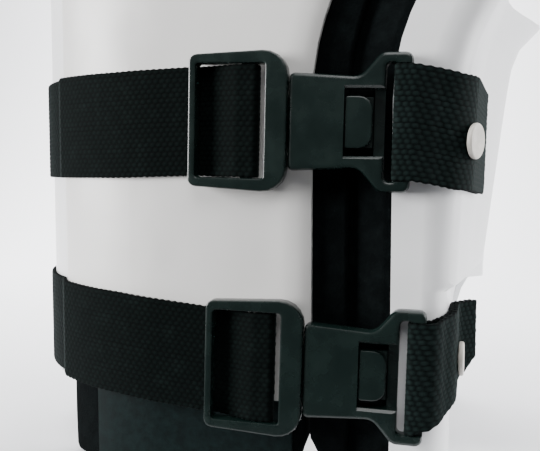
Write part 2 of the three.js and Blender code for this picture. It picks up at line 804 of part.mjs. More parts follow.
function receiver() {
  const half = BODY_HEIGHT / 2;
  const yokeHalf = yokeHeight / 2;
  const slotHalf = slotHeight / 2;
  const upperSide = [
    { x: yokeRight, y: yokeHalf, radius: 2.6 },
    { x: yokeLeft - 0.5, y: yokeHalf, radius: 4 },
    { x: bodyRight, y: half - BODY_TAPER, radius: 5 },
    { x: bodyLeft, y: half, radius: RECEIVER_BEVEL + 0.4 },
  ];
  const lowerSide = [...upperSide].reverse().map(({ x, y, radius }) => ({ x, y: -y, radius }));
  const body = outline([...upperSide, ...lowerSide]);
  body.holes.push(
    outline(rectangle(slotLeft, slotRight, -slotHalf, slotHalf, RECEIVER_BEVEL + 0.2)),
  );
  const windowHalf = WINDOW_HEIGHT / 2;
  const crossBar = tabRight + CLEARANCE;
  const channel = block(
    bodyLeft - 1, crossBar, -windowHalf, windowHalf, bodyBack - 1, roofBack,
  );
  const window = block(
    windowLeft, windowRight + 1, -windowHalf, windowHalf, bodyBack + WINDOW_FLOOR, bodyFront + 1,
  );
  const windowRim = funnel(
    windowLeft, windowRight + 1, -windowHalf, windowHalf, bodyFront - WINDOW_BEVEL, bodyFront,
  );
  const barRelief = block(
    slotRight - 0.5, yokeRight + 1, -slotHalf, slotHalf, barBack + CENTRE_BAR_DEPTH, bodyFront + 1,
  );
  const barHollow = block(
    slotRight - 0.5, yokeRight + 1, -slotHalf, slotHalf, bodyBack - 1, ringBack,
  );
  return cut(
    plate(body, bodyBack, bodyFront, RECEIVER_BEVEL),
    channel,
    window,
    windowRim,
    barRelief,
    barHollow,
  );
}

// A buckle half is turned about the buckle's own middle and set at its place on the front
const pivot = (BUCKLE_LEFT + yokeRight) / 2;

function placed(geometry, shift, level, tilt) {
  return geometry.clone()
    .translate(-pivot, 0, 0)
    .rotateZ(tilt)
    .translate(pivot + shift, level, 0)
    .applyMatrix4(onFront)
    .translate(0, -HALF_DEPTH, 0);
}

// Anchor straps, folded round the receiver's end bar

function chape({ shift, end, lift, liftStart }, course) {
  const loopLeft = slotRight - wrap + shift;
  const over = barBack + CENTRE_BAR_DEPTH + wrap;
  const under = ringBack - wrap;
  const stacked = under + WEBBING + CLEARANCE;
  const line = followed([
    { x: end, y: under + lift },
    { x: liftStart, y: under, radius: 3 },
    { x: loopLeft, y: under, radius: 1.3 },
    { x: loopLeft, y: over, radius: 1.3 },
    { x: yokeRight + 1 + shift, y: over, radius: 3 },
    { x: yokeRight + 1 + CHAPE_DROP_RUN + shift, y: stacked, radius: 5 },
    { x: liftStart, y: stacked, radius: 3 },
    { x: end, y: stacked + lift },
  ], course.places);
  return band(line, course);
}

// Rivets

// A flat cap with a rounded rim on the webbing, a shank and a disc inside the shell
function rivet(along, height, seat, inside) {
  const back = inside - seat;
  const profile = [
    [0, CAP_HEIGHT],
    [CAP_RADIUS - CAP_RIM, CAP_HEIGHT],
    [CAP_RADIUS - 0.3 * CAP_RIM, CAP_HEIGHT - 0.3 * CAP_RIM],
    [CAP_RADIUS, CAP_HEIGHT - CAP_RIM],
    [CAP_RADIUS, 0],
    [SHANK_RADIUS, 0],
    [SHANK_RADIUS, back],
    [BACK_RADIUS, back],
    [BACK_RADIUS, back - BACK_HEIGHT],
    [0, back - BACK_HEIGHT],
  ].map(([x, y]) => new THREE.Vector2(x, y));
  return upright(new THREE.LatheGeometry(profile, RIVET_SIDES), along, height, seat);
}

function rivetHole(along, height) {
  const radius = SHANK_RADIUS + CLEARANCE;
  const length = WEBBING_WIDTH;
  return upright(new THREE.CylinderGeometry(radius, radius, length, RIVET_SIDES), along, height, 0);
}

// Turned so that its axis stands square on the shell's face, and set at a place on it
function upright(geometry, along, height, out) {
  const seat = onShell(along, 0, height);
  const onward = onShell(along + 1, 0, height).sub(seat);
  const upward = onShell(along, 0, height + 1).sub(seat);
  const axis = onward.cross(upward).normalize();
  const turn = new THREE.Quaternion().setFromUnitVectors(new THREE.Vector3(0, 1, 0), axis);
  seat.addScaledVector(axis, out);
  return geometry.applyQuaternion(turn).translate(seat.x, seat.y, seat.z);
}

// The whole brace

const brace = new THREE.Group();
brace.name = 'hip_abduction_brace';

// Both closures, in shares of the webbing's width: how high the strap and the anchor strap
// run above the closure's level, how far the anchor strap and its rivet reach past the
// buckle, how far its free end stands off, and what its end loses of its lower edge
const CLOSURES = [
  {
    name: 'upper',
    level: UPPER_LEVEL,
    shift: 0,
    tilt: THREE.MathUtils.degToRad(-1.3),
    strapRise: { atEdge: 0, atHold: 0 },
    chapeRise: { from: middle(crease), atCrease: -0.1, atEnd: -0.174 },
    chapeReach: 1.5,
    chapeCut: [{ back: 0, cut: 0.05 }, { back: 0.05, cut: 0 }],
    lift: 0,
    rivetReach: 0.47,
    rivetRise: -0.065,
  },
  {
    name: 'lower',
    level: LOWER_LEVEL,
    shift: LOWER_SHIFT,
    tilt: THREE.MathUtils.degToRad(-1.5),
    strapRise: { atEdge: 0.184, atHold: 0.132 },
    chapeRise: { from: crease.end, atCrease: 0.042, atEnd: 0.063 },
    chapeReach: 0.9,
    chapeCut: [
      { back: 0, cut: 0.47 },
      { back: 0.11, cut: 0.33 },
      { back: 0.32, cut: 0.21 },
      { back: 0.63, cut: 0.17 },
      { back: 0.82, cut: 0.09 },
      { back: 1, cut: 0 },
    ],
    lift: 0.17,
    rivetReach: 0.53,
    rivetRise: 0.013,
  },
];

let shell = mainShell();

for (const closure of CLOSURES) {
  const { name, level, shift, tilt } = closure;
  const slope = Math.tan(tilt);
  const buckleRise = (along) => (along - pivot) * slope;
  const yokeEnd = yokeRight + shift;
  const chapeEnd = yokeEnd + closure.chapeReach * WEBBING_WIDTH;
  const chapeRivet = yokeEnd + closure.rivetReach * WEBBING_WIDTH;
  const holdStart = BUCKLE_LEFT - HOLD_RUN;
  const strapRows = [
    [PANEL_EDGE, closure.strapRise.atEdge * WEBBING_WIDTH],
    [holdStart, closure.strapRise.atHold * WEBBING_WIDTH],
    [BUCKLE_LEFT + shift, buckleRise(BUCKLE_LEFT)],
    [ringRight + shift, buckleRise(ringRight)],
  ];
  const chapeRows = [
    [slotLeft + shift, buckleRise(slotLeft)],
    [yokeEnd + 1, buckleRise(yokeRight + 1)],
    [closure.chapeRise.from, closure.chapeRise.atCrease * WEBBING_WIDTH],
    [chapeEnd, closure.chapeRise.atEnd * WEBBING_WIDTH],
  ];
  const cutRows = closure.chapeCut.map(({ back, cut: lost }) => (
    [back * WEBBING_WIDTH, lost * WEBBING_WIDTH]
  ));
  const holdRows = [
    [holdStart, 0], [BUCKLE_LEFT + shift, 1],
    [yokeEnd + 1, 1], [yokeEnd + 1 + HOLD_RELEASE, 0],
  ];
  const hold = (along) => reading(holdRows, along);
  const strapLevel = (along) => level + reading(strapRows, along);
  const chapeLevel = (along) => level + reading(chapeRows, along);

  const chapeRivetLevel = chapeLevel(chapeRivet) + closure.rivetRise * WEBBING_WIDTH;
  const chapeCourse = {
    shift,
    end: chapeEnd,
    lift: closure.lift * WEBBING_WIDTH,
    liftStart: chapeRivet + CAP_RADIUS + 1,
  };
  const chapeTop = 3 * CLEARANCE + 2 * WEBBING;
  const chapeHole = rivetHole(chapeRivet, chapeRivetLevel);
  const strapRivet = strapEnd + STRAP_RIVET_INSET;
  const strapRivetLevel = strapLevel(strapRivet);
  const strapTop = 2 * CLEARANCE + WEBBING + lapOut;
  const strapHole = rivetHole(strapRivet, strapRivetLevel);
  const inside = -SHELL_WALL - BACK_PLAY;
  shell = cut(shell, chapeHole, strapHole);
  brace.add(
    named(
      `${name}_strap`,
      cut(
        strap(shift, {
          places: strapRows.map(([at]) => at),
          lowerEdge: (along) => strapLevel(along) - WEBBING_WIDTH / 2,
          upperEdge: (along) => strapLevel(along) + WEBBING_WIDTH / 2,
          hold,
          slope,
        }),
        strapHole,
      ),
      FINISHES.webbing,
    ),
    named(`${name}_ring_buckle`, placed(ringBuckle(), shift, level, tilt), FINISHES.buckle),
    named(`${name}_receiver`, placed(receiver(), shift, level, tilt), FINISHES.buckle),
    named(
      `${name}_chape`,
      cut(
        chape(chapeCourse, {
          places: [
            ...chapeRows.map(([at]) => at),
            ...cutRows.map(([back]) => chapeEnd - back),
          ],
          lowerEdge: (along) => chapeLevel(along) - WEBBING_WIDTH / 2
            + reading(cutRows, chapeEnd - along),
          upperEdge: (along) => chapeLevel(along) + WEBBING_WIDTH / 2,
          hold,
          slope,
        }),
        chapeHole,
      ),
      FINISHES.webbing,
    ),
    named(
      `${name}_chape_rivet`,
      rivet(chapeRivet, chapeRivetLevel, chapeTop, inside),
      FINISHES.rivet,
    ),
    named(
      `${name}_strap_rivet`,
      rivet(strapRivet, strapRivetLevel, strapTop, lapOut + inside),
      FINISHES.rivet,
    ),
  );
}

brace.add(
  named('main_shell', shell, FINISHES.shell),
  named('front_panel', frontPanel(), FINISHES.shell),
  named('panel_liner', panelLiner(), FINISHES.foam),
  named('main_liner', mainLiner(), FINISHES.foam),
  named('lower_plate', lowerPlate(), FINISHES.plate),
  named('lower_pad', lowerPad(), FINISHES.foam),
);

// The origin is the middle of the footprint, at the level of the lower rim
const box = new THREE.Box3().setFromObject(brace);
const footing = box.getCenter(new THREE.Vector3()).setZ(box.min.z).negate();
brace.children.forEach((mesh) => mesh.geometry.translate(...footing.toArray()));

export default brace;
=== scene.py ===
"""Hip abduction brace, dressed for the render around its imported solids.

Lengths in the classes are in millimetres, in the plan that the girdle is drawn on. Meshes
are in metres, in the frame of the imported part.
"""

from __future__ import annotations

import json
import logging
import math
from abc import ABC, abstractmethod
from contextlib import contextmanager
from dataclasses import dataclass, field
from enum import Enum
from functools import cached_property
from typing import Callable, Iterator, Sequence

import bpy
import numpy as np
from mathutils import Matrix, Vector

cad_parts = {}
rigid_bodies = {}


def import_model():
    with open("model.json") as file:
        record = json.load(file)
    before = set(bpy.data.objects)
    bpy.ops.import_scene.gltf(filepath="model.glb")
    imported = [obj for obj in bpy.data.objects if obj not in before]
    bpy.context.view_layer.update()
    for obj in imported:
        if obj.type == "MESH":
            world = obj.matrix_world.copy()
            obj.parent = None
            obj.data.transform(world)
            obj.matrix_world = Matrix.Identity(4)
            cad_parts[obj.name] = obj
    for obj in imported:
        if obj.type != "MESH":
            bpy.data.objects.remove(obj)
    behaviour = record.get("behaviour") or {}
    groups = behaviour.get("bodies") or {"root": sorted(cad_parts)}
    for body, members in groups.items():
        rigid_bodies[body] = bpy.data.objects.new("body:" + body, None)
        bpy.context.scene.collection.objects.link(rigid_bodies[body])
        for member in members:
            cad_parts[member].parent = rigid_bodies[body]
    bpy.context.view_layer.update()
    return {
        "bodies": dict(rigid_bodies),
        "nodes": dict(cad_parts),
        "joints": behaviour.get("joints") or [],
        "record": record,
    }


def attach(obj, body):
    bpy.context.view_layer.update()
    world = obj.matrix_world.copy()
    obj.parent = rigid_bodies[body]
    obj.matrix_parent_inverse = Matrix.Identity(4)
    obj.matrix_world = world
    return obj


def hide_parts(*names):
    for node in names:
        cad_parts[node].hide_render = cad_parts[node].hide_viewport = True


LOG = logging.getLogger("brace")
METRES = 0.001
BODY = "root"
CLEARANCE = 0.3
STRAIGHT = 1e-6
UPWARDS = 0.9

Array = np.ndarray
Rows = Sequence[tuple[float, float]]
Colour = tuple[float, float, float]


class Slot(Enum):
    """Material slots of the record."""

    SHELL = "shell_plastic"
    FOAM = "foam"
    WEBBING = "webbing"
    BUCKLE = "buckle_plastic"
    PLATE = "plate_plastic"
    RIVET = "rivet"


class Weave(Enum):
    """How far each row of the weave is moved against the row below it, in picks."""

    BRICK = 0.5
    TWILL = 0.34


# Shader expressions


class Wire:
    """A socket of a material's nodes that Python's operators can be used on."""

    def __init__(self, paint: "Paint", socket: bpy.types.NodeSocket) -> None:
        """Keeps the socket and the material it belongs to."""
        self.paint = paint
        self.socket = socket

    def _maths(self, operation: str, *values: "Wire | float") -> "Wire":
        """A Math node on these values, in order."""
        return self.paint.node("ShaderNodeMath", {"operation": operation}, dict(enumerate(values)))

    def __add__(self, other: "Wire | float") -> "Wire":
        """This plus the other."""
        return self._maths("ADD", self, other)

    __radd__ = __add__

    def __mul__(self, other: "Wire | float") -> "Wire":
        """This times the other."""
        return self._maths("MULTIPLY", self, other)

    __rmul__ = __mul__

    def __sub__(self, other: "Wire | float") -> "Wire":
        """This less the other."""
        return self._maths("SUBTRACT", self, other)

    def __rsub__(self, other: "Wire | float") -> "Wire":
        """The other less this."""
        return self._maths("SUBTRACT", other, self)

    def clipped(self) -> "Wire":
        """This, kept from nought to one."""
        return self._maths("MINIMUM", self._maths("MAXIMUM", self, 0.0), 1.0)


class Paint:
    """The nodes of one material."""

    def __init__(self, name: str) -> None:
        """Makes the material with its shader.

        Args:
            name: The material's name.
        """
        self.material = bpy.data.materials.new(name)
        self.material.use_nodes = True
        self.tree = self.material.node_tree
        self.shader = self.tree.nodes["Principled BSDF"]

    def node(
        self,
        kind: str,
        settings: dict[str, object] | None = None,
        inputs: dict[str | int, object] | None = None,
        output: str | int = 0,
    ) -> Wire:
        """Adds a node.

        Args:
            kind: The node's type.
            settings: Its own settings, set before its sockets.
            inputs: Values or wires by socket name or number.
            output: The socket that is returned.

        Returns:
            The wire of that output.
        """
        made = self.tree.nodes.new(kind)
        for name, value in (settings or {}).items():
            setattr(made, name, value)
        for key, value in (inputs or {}).items():
            self.join(made.inputs[key], value)
        return Wire(self, made.outputs[output])

    def join(self, socket: bpy.types.NodeSocket, value: object) -> None:
        """Links a wire to the socket, or sets a plain value on it.

        Args:
            socket: The socket that is fed.
            value: A wire, or a number, colour or vector.
        """
        if isinstance(value, Wire):
            self.tree.links.new(value.socket, socket)
        elif isinstance(value, tuple) and len(value) == 3 and socket.type == "RGBA":
            socket.default_value = (*value, 1.0)
        else:
            socket.default_value = value

    def place(self) -> Wire:
        """Object coordinates, in metres."""
        return self.node("ShaderNodeTexCoord", output="Object")

    def reading(self, attribute: str) -> Wire:
        """A number kept on the mesh's points."""
        return self.node("ShaderNodeAttribute", {"attribute_name": attribute}, output=2)

    def noise(self, vector: Wire, size: float, detail: float = 3.0, rough: float = 0.55) -> Wire:
        """Noise from nought to one.

        Args:
            vector: Where it is read.
            size: About the size of its grain in millimetres.
            detail: How many finer layers it has.
            rough: How strong the finer layers are.

        Returns:
            The noise's wire.
        """
        return self.node(
            "ShaderNodeTexNoise",
            inputs={
                "Vector": vector,
                "Scale": 1 / (size * METRES),
                "Detail": detail,
                "Roughness": rough,
            },
        )

    def cells(self, vector: Wire, size: float) -> Wire:
        """Distance to the middle of round cells of about this size in millimetres."""
        return self.node(
            "ShaderNodeTexVoronoi", inputs={"Vector": vector, "Scale": 1 / (size * METRES)}
        )

    def blend(self, share: Wire | float, first: object, second: object) -> Wire:
        """A colour between two."""
        return self.node(
            "ShaderNodeMix", {"data_type": "RGBA"}, {0: share, 6: first, 7: second}, output=2
        )

    def set(self, name: str, value: object) -> None:
        """Sets or links one of the shader's own sockets."""
        self.join(self.shader.inputs[name], value)

    def relief(self, height: Wire, depth: float, under: Wire | None = None) -> Wire:
        """A bump in the surface.

        Args:
            height: The bump's height, from nought to one.
            depth: The depth in millimetres that a height of one stands for.
            under: Another bump that this one lies on.

        Returns:
            The wire of the bumped normal.
        """
        inputs: dict[str | int, object] = {
            "Height": height, "Distance": depth * METRES, "Strength": 1.0,
        }
        if under is not None:
            inputs["Normal"] = under
        return self.node("ShaderNodeBump", inputs=inputs)


# Finishes


@dataclass(frozen=True)
class Finish(ABC):
    """The look of one stuff."""

    name: str

    @abstractmethod
    def dress(self, paint: Paint) -> None:
        """Builds the nodes of this finish.

        Args:
            paint: The material that is built.
        """

    def made(self) -> bpy.types.Material:
        """Makes the material, or finds the one made before.

        Returns:
            The material.
        """
        known = bpy.data.materials.get(self.name)
        if known:
            return known
        paint = Paint(self.name)
        self.dress(paint)
        return paint.material


@dataclass(frozen=True)
class ShellPlastic(Finish):
    """White moulded plastic, satin, with a faint skin from its mould and a few scuffs."""

    name: str = "white_moulding"
    pale: Colour = (0.86, 0.865, 0.875)
    shade: Colour = (0.82, 0.825, 0.835)
    scuff: Colour = (0.60, 0.60, 0.59)
    roughness: float = 0.4
    specular: float = 0.5
    cloud: float = 38.0
    hairline: float = 26.0
    wave: float = 22.0
    grain: float = 0.55

    def dress(self, paint: Paint) -> None:
        """Cloudy white with a fine grain and rare hairline scuffs.

        Args:
            paint: The material that is built.
        """
        place = paint.place()
        cloud = paint.noise(place, self.cloud, 2)
        stretched = paint.node(
            "ShaderNodeMapping",
            inputs={"Vector": place, "Rotation": (0.0, 0.35, 0.2), "Scale": (1.0, 1.0, 14.0)},
        )
        hair = paint.noise(stretched, self.hairline, 4, 0.7)
        worn = ((hair - 0.66) * 9.0).clipped() * 0.16
        colour = paint.blend(((cloud - 0.35) * 2.2).clipped(), self.shade, self.pale)
        paint.set("Base Color", paint.blend(worn, colour, self.scuff))
        grain = paint.noise(place, self.grain, 2)
        paint.set("Roughness", (cloud - 0.5) * 0.12 + self.roughness + worn * 0.4)
        waves = paint.relief(paint.noise(place, self.wave, 1), 0.5)
        paint.set("Normal", paint.relief(grain, 0.012, waves))
        paint.set("Specular IOR Level", self.specular)


@dataclass(frozen=True)
class BuckleMoulding(Finish):
    """Black moulded plastic with a green cast and a fine spark-eroded skin."""

    name: str = "buckle_moulding"
    deep: Colour = (0.0028, 0.0080, 0.0070)
    dusty: Colour = (0.0056, 0.0136, 0.0116)
    roughness: float = 0.27
    specular: float = 0.5
    cloud: float = 9.0
    skin: float = 0.4

    def dress(self, paint: Paint) -> None:
        """Dark plastic, a little dusty in patches, with a fine even skin.

        Args:
            paint: The material that is built.
        """
        place = paint.place()
        cloud = paint.noise(place, self.cloud, 3)
        paint.set("Base Color", paint.blend(((cloud - 0.4) * 2.5).clipped(), self.deep, self.dusty))
        paint.set("Roughness", (cloud - 0.5) * 0.16 + self.roughness)
        skin = paint.noise(place, self.skin, 2)
        paint.set("Normal", paint.relief(skin, 0.012))
        paint.set("Specular IOR Level", self.specular)


@dataclass(frozen=True)
class WovenWebbing(Finish):
    """Black woven webbing with fibres, its colour painted dark between the picks as painted shade
    and lighter on the ribs as painted light.
    """

    name: str = "black_webbing"
    # hollow is painted shade between the picks; rib is painted light on the tops of the weave
    hollow: Colour = (0.0002, 0.0004, 0.0004)
    rib: Colour = (0.0021, 0.0050, 0.0045)
    faded: Colour = (0.0085, 0.0160, 0.0145)
    roughness: float = 0.82
    specular: float = 0.05
    sheen: float = 0.035
    sheen_tint: tuple[float, float, float, float] = (0.75, 0.95, 0.92, 1.0)
    sheen_roughness: float = 0.35
    fibre: float = 0.22
    patch: float = 5.0

    def dress(self, paint: Paint) -> None:
        """Paints shade into the weave's hollows and light onto its ribs by its own relief, and
        combs fine fibres along the webbing.

        Args:
            paint: The material that is built.
        """
        height = paint.reading("relief")
        along = paint.reading("along")
        across = paint.reading("across")
        fibres = paint.node(
            "ShaderNodeCombineXYZ", inputs={0: along * 0.25, 1: across, 2: across * 0.0}
        )
        lint = paint.noise(fibres, self.fibre, 2)
        patches = paint.noise(paint.place(), self.patch, 3)
        # painted shade and light: colour runs from the dark hollow to the lighter rib with the
        # relief height
        tone = paint.blend((height * (lint * 0.9 + 0.45)).clipped(), self.hollow, self.rib)
        fading = ((patches - 0.5) * 2.4).clipped() * height * 0.5
        paint.set("Base Color", paint.blend(fading, tone, self.faded))
        paint.set("Roughness", (lint - 0.5) * 0.1 + self.roughness)
        paint.set("Normal", paint.relief(lint, 0.05))
        paint.set("Specular IOR Level", self.specular)
        paint.set("Sheen Weight", self.sheen)
        paint.set("Sheen Tint", self.sheen_tint)
        paint.set("Sheen Roughness", self.sheen_roughness)


@dataclass(frozen=True)
class BlackFoam(Finish):
    """Black foam lining with a brushed, slightly dusty face."""

    name: str = "black_foam"
    deep: Colour = (0.0016, 0.0023, 0.0025)
    dusty: Colour = (0.0044, 0.0064, 0.0066)
    roughness: float = 0.93
    specular: float = 0.03
    cloud: float = 6.0
    fluff: float = 0.5
    pore: float = 0.9

    def dress(self, paint: Paint) -> None:
        """Fine pores over soft cloudy patches.

        Args:
            paint: The material that is built.
        """
        place = paint.place()
        pores = paint.cells(place, self.pore)
        cloud = paint.noise(place, self.cloud, 4, 0.65)
        fluff = paint.noise(place, self.fluff, 2)
        paint.set(
            "Base Color",
            paint.blend(((cloud - 0.42) * 2.6).clipped() * (fluff + 0.3), self.deep, self.dusty),
        )
        paint.set("Roughness", (cloud - 0.5) * 0.1 + self.roughness)
        soft = paint.relief(cloud, 0.25)
        paint.set("Normal", paint.relief(pores, 0.12, soft))
        paint.set("Specular IOR Level", self.specular)


@dataclass(frozen=True)
class MottledPlate(Finish):
    """Dark grey-green plate with a mottled, rubbed face."""

    name: str = "mottled_plate"
    deep: Colour = (0.0010, 0.0040, 0.0040)
    pale: Colour = (0.0034, 0.0098, 0.0098)
    roughness: float = 0.6
    specular: float = 0.08
    blotch: float = 3.2
    pebble: float = 0.8

    def dress(self, paint: Paint) -> None:
        """Blotches of two greys and a pebbled skin.

        Args:
            paint: The material that is built.
        """
        place = paint.place()
        blotch = paint.noise(place, self.blotch, 4, 0.65)
        paint.set("Base Color", paint.blend(((blotch - 0.38) * 3).clipped(), self.deep, self.pale))
        paint.set("Roughness", (blotch - 0.5) * 0.2 + self.roughness)
        paint.set("Normal", paint.relief(paint.noise(place, self.pebble, 2), 0.06))
        paint.set("Specular IOR Level", self.specular)


@dataclass(frozen=True)
class PaleRivet(Finish):
    """Pale moulded rivet, a little yellowed."""

    name: str = "pale_rivet"
    pale: Colour = (0.67, 0.64, 0.60)
    aged: Colour = (0.50, 0.47, 0.42)
    roughness: float = 0.42
    specular: float = 0.4
    cloud: float = 4.0
    skin: float = 0.35

    def dress(self, paint: Paint) -> None:
        """Off-white with faint patches and a fine skin.

        Args:
            paint: The material that is built.
        """
        place = paint.place()
        cloud = paint.noise(place, self.cloud, 3)
        paint.set("Base Color", paint.blend(((cloud - 0.35) * 2).clipped(), self.aged, self.pale))
        paint.set("Roughness", (cloud - 0.5) * 0.15 + self.roughness)
        paint.set("Normal", paint.relief(paint.noise(place, self.skin, 2), 0.01))
        paint.set("Specular IOR Level", self.specular)


@dataclass(frozen=True)
class StudioPaper(Finish):
    """Plain pale paper of the floor and the backdrop."""

    name: str = "studio_paper"
    tone: Colour = (0.90, 0.905, 0.93)
    roughness: float = 0.9
    specular: float = 0.1
    tooth: float = 3.0

    def dress(self, paint: Paint) -> None:
        """Even paper with a very faint tooth.

        Args:
            paint: The material that is built.
        """
        paint.set("Base Color", self.tone)
        paint.set("Roughness", self.roughness)
        paint.set("Normal", paint.relief(paint.noise(paint.place(), self.tooth, 2), 0.02))
        paint.set("Specular IOR Level", self.specular)


# The girdle's shape


@dataclass(frozen=True)
class Corner:
    """A rounded corner of a path."""

    name: str
    x: float
    y: float
    radius: float = 0.0


def rounded(corners: Sequence[Corner], loop: bool, step: float) -> tuple[Array, list[str]]:
    """Rounds the corners of a path.

    Args:
        corners: The path's corners, in order.
        loop: Whether the path is closed.
        step: The greatest turn between two points of an arc, in degrees.

    Returns:
        The points, and for each the name of the corner that it rounds.
    """
    points: list[Array] = []
    names: list[str] = []
    for i, corner in enumerate(corners):
        here = np.array([corner.x, corner.y])
        before, after = corners[i - 1], corners[(i + 1) % len(corners)]
        into = np.array([before.x, before.y]) - here
        out = np.array([after.x, after.y]) - here
        into, out = into / np.linalg.norm(into), out / np.linalg.norm(out)
        straight = np.linalg.norm(into + out) < STRAIGHT
        if straight or corner.radius == 0 or (not loop and i in (0, len(corners) - 1)):
            points.append(here)
            names.append("")
            continue
        half = math.acos(float(np.clip(into @ out, -1, 1))) / 2
        middle = (into + out) / np.linalg.norm(into + out)
        centre = here + middle * corner.radius / math.sin(half)
        start = here + into * corner.radius / math.tan(half)
        turn = (math.pi - 2 * half) * np.sign(out[0] * into[1] - out[1] * into[0])
        steps = max(2, math.ceil(abs(turn) / math.radians(step)))
        for k in range(steps + 1):
            cos, sin = math.cos(turn * k / steps), math.sin(turn * k / steps)
            offset = start - centre
            points.append(centre + np.array(
                [cos * offset[0] - sin * offset[1], sin * offset[0] + cos * offset[1]]
            ))
            names.append(corner.name)
    return np.array(points), names


def reading(rows: Rows, place: Array) -> Array:
    """Straight reading of a table of places and values, in rising order."""
    return np.interp(place, [row[0] for row in rows], [row[1] for row in rows])


def eased(rows: Rows, place: Array) -> Array:
    """Reads a table smoothly, level at every row.

    Args:
        rows: Places and values, in rising order.
        place: Where it is read.

    Returns:
        One value for each place.
    """
    at = np.array([row[0] for row in rows])
    value = np.array([row[1] for row in rows])
    upper = np.clip(np.searchsorted(at, place, side="right"), 1, len(at) - 1)
    share = np.clip((place - at[upper - 1]) / (at[upper] - at[upper - 1]), 0, 1)
    share = share * share * (3 - 2 * share)
    return value[upper - 1] + (value[upper] - value[upper - 1]) * share


@dataclass
class Girdle:
    """The plan of the brace and the flare of its walls, as the solids have them."""

    wall: float = 3.0
    height: float = 192.0
    gap_left: float = 28.7
    gap_right: float = 57.3
    panel_edge: float = -79.6
    panel_thinning: float = 8.0
    panel_edge_wall: float = 1.2
    liner_lap: float = 13.0
    leg_cut: float = 77.5
    ledge: float = 2.0
    lean_from: float = 143.0
    lean_to: float = 177.0
    lean: float = 9.4
    slope_from: float = 80.0
    side_slope: float = 0.12
    lip_from: float = 163.0
    lip_radius: float = 22.0
    tuck: float = 3.4
    tongue_tuck: float = 6.5
    tongue_return: float = 28.0
    roll: float = 3.0
    roll_run: float = 11.0
    arc_step: float = 3.0
    frame_shift: tuple[float, float] = (-5.888, 4.100)
    corners: tuple[Corner, ...] = (
        Corner("crease", 78.5, -75.0, 13.0),
        Corner("right_side", 95.5, 20.25, 39.75),
        Corner("back_right", 80.0, 75.0, 39.75),
        Corner("back_left", -88.0, 75.0, 54.75),
        Corner("front_left", -124.0, -75.0, 75.0),
    )

    def __post_init__(self) -> None:
        """Measures the plan from the middle of the front."""
        points, names = rounded(self.corners, True, self.arc_step)
        first = np.array([[0.0, points[-1][1]]])
        self.points = np.vstack([first, points, first])
        self.names = ["", *names, ""]
        steps = np.linalg.norm(np.diff(self.points, axis=0), axis=1)
        self.lengths = np.concatenate([[0.0], np.cumsum(steps)])
        self.length = float(self.lengths[-1])

    def corner(self, name: str) -> tuple[float, float]:
        """Where a corner begins and ends along the plan."""
        inside = [l for l, n in zip(self.lengths, self.names) if n == name]
        return inside[0], inside[-1]

    def middle(self, name: str) -> float:
        """The middle of a corner along the plan."""
        return sum(self.corner(name)) / 2

    def at(self, along: Array) -> Array:
        """Points of the plan.

        Args:
            along: Places along the plan, from the middle of the front.

        Returns:
            One point for each place.
        """
        wrapped = np.mod(along, self.length)
        return np.stack([
            np.interp(wrapped, self.lengths, self.points[:, 0]),
            np.interp(wrapped, self.lengths, self.points[:, 1]),
        ], axis=-1)

    def outward(self, along: Array) -> Array:
        """The way out of the shell.

        Args:
            along: Places along the plan.

        Returns:
            One unit vector for each place.
        """
        tangent = self.at(along + 1) - self.at(along - 1)
        tangent /= np.linalg.norm(tangent, axis=-1, keepdims=True)
        return np.stack([tangent[..., 1], -tangent[..., 0]], axis=-1)

    @cached_property
    def flare(self) -> dict[str, Rows]:
        """How far each stretch follows the lean, the side's slope and the lip.

        Returns:
            For each of the three, places along the plan and shares.
        """
        crease_end = self.corner("crease")[1]
        right_side = self.middle("right_side")
        places = (
            self.panel_edge, self.gap_left, self.gap_left + self.liner_lap, self.gap_right,
            self.middle("crease"), (crease_end + right_side) / 2, right_side,
            self.middle("back_right"), self.middle("back_left"),
        )
        weights = {
            "lean": (0, 0.66, 0.66, 0.86, 1.05, 0.5, 0.15, 0, 0),
            "slope": (0, 0, 0, 0, 0.3, 0.2, 1, 0.6, 0),
            "lip": (0, 0, 0, 0, 0, 0.2, 1, 0.4, 0),
        }
        return {name: list(zip(places, row)) for name, row in weights.items()}

    @cached_property
    def tucks(self) -> Rows:
        """How far the wall is tucked in below the leg cut's ledge.

        Returns:
            Places along the plan and distances.
        """
        start, end = self.corner("crease")
        return [
            (start, 0.0), (end, self.tuck), (end + self.tongue_return, self.tongue_tuck),
            (self.middle("right_side"), 0.0),
        ]

    def sideways(self, along: Array, height: Array) -> Array:
        """How far the wall stands to the right of the plan.

        Args:
            along: Places along the plan.
            height: Heights above the lower rim.

        Returns:
            One distance for each place.
        """
        place = np.mod(along - self.panel_edge, self.length) + self.panel_edge
        lean = self.lean * (
            np.maximum(0, height - self.lean_from) / (self.lean_to - self.lean_from)
        ) ** 2
        slope = self.side_slope * np.maximum(0, height - self.slope_from)
        rolled = np.clip(height - self.lip_from, 0, 0.8 * self.lip_radius)
        lip = self.lip_radius - np.sqrt(self.lip_radius ** 2 - rolled ** 2)
        below = np.clip((self.leg_cut - height) / self.ledge, 0, 1)
        return (
            lean * eased(self.flare["lean"], place) + slope * eased(self.flare["slope"], place)
            + lip * eased(self.flare["lip"], place) - below * reading(self.tucks, place)
        )

    def on_shell(
        self, along: Array, out: Array, height: Array, share: Array | float = 1.0
    ) -> Array:
        """Points off the shells' outer face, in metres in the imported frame.

        Args:
            along: Places along the plan.
            out: Distances out from the face.
            height: Heights above the lower rim.
            share: How much of the flare they follow.

        Returns:
            One point for each place.
        """
        flat = self.at(along) + self.outward(along) * np.asarray(out)[..., None]
        x = flat[..., 0] + share * self.sideways(along, height) + self.frame_shift[0]
        y = flat[..., 1] + self.frame_shift[1]
        return np.stack([x, y, height], axis=-1) * METRES

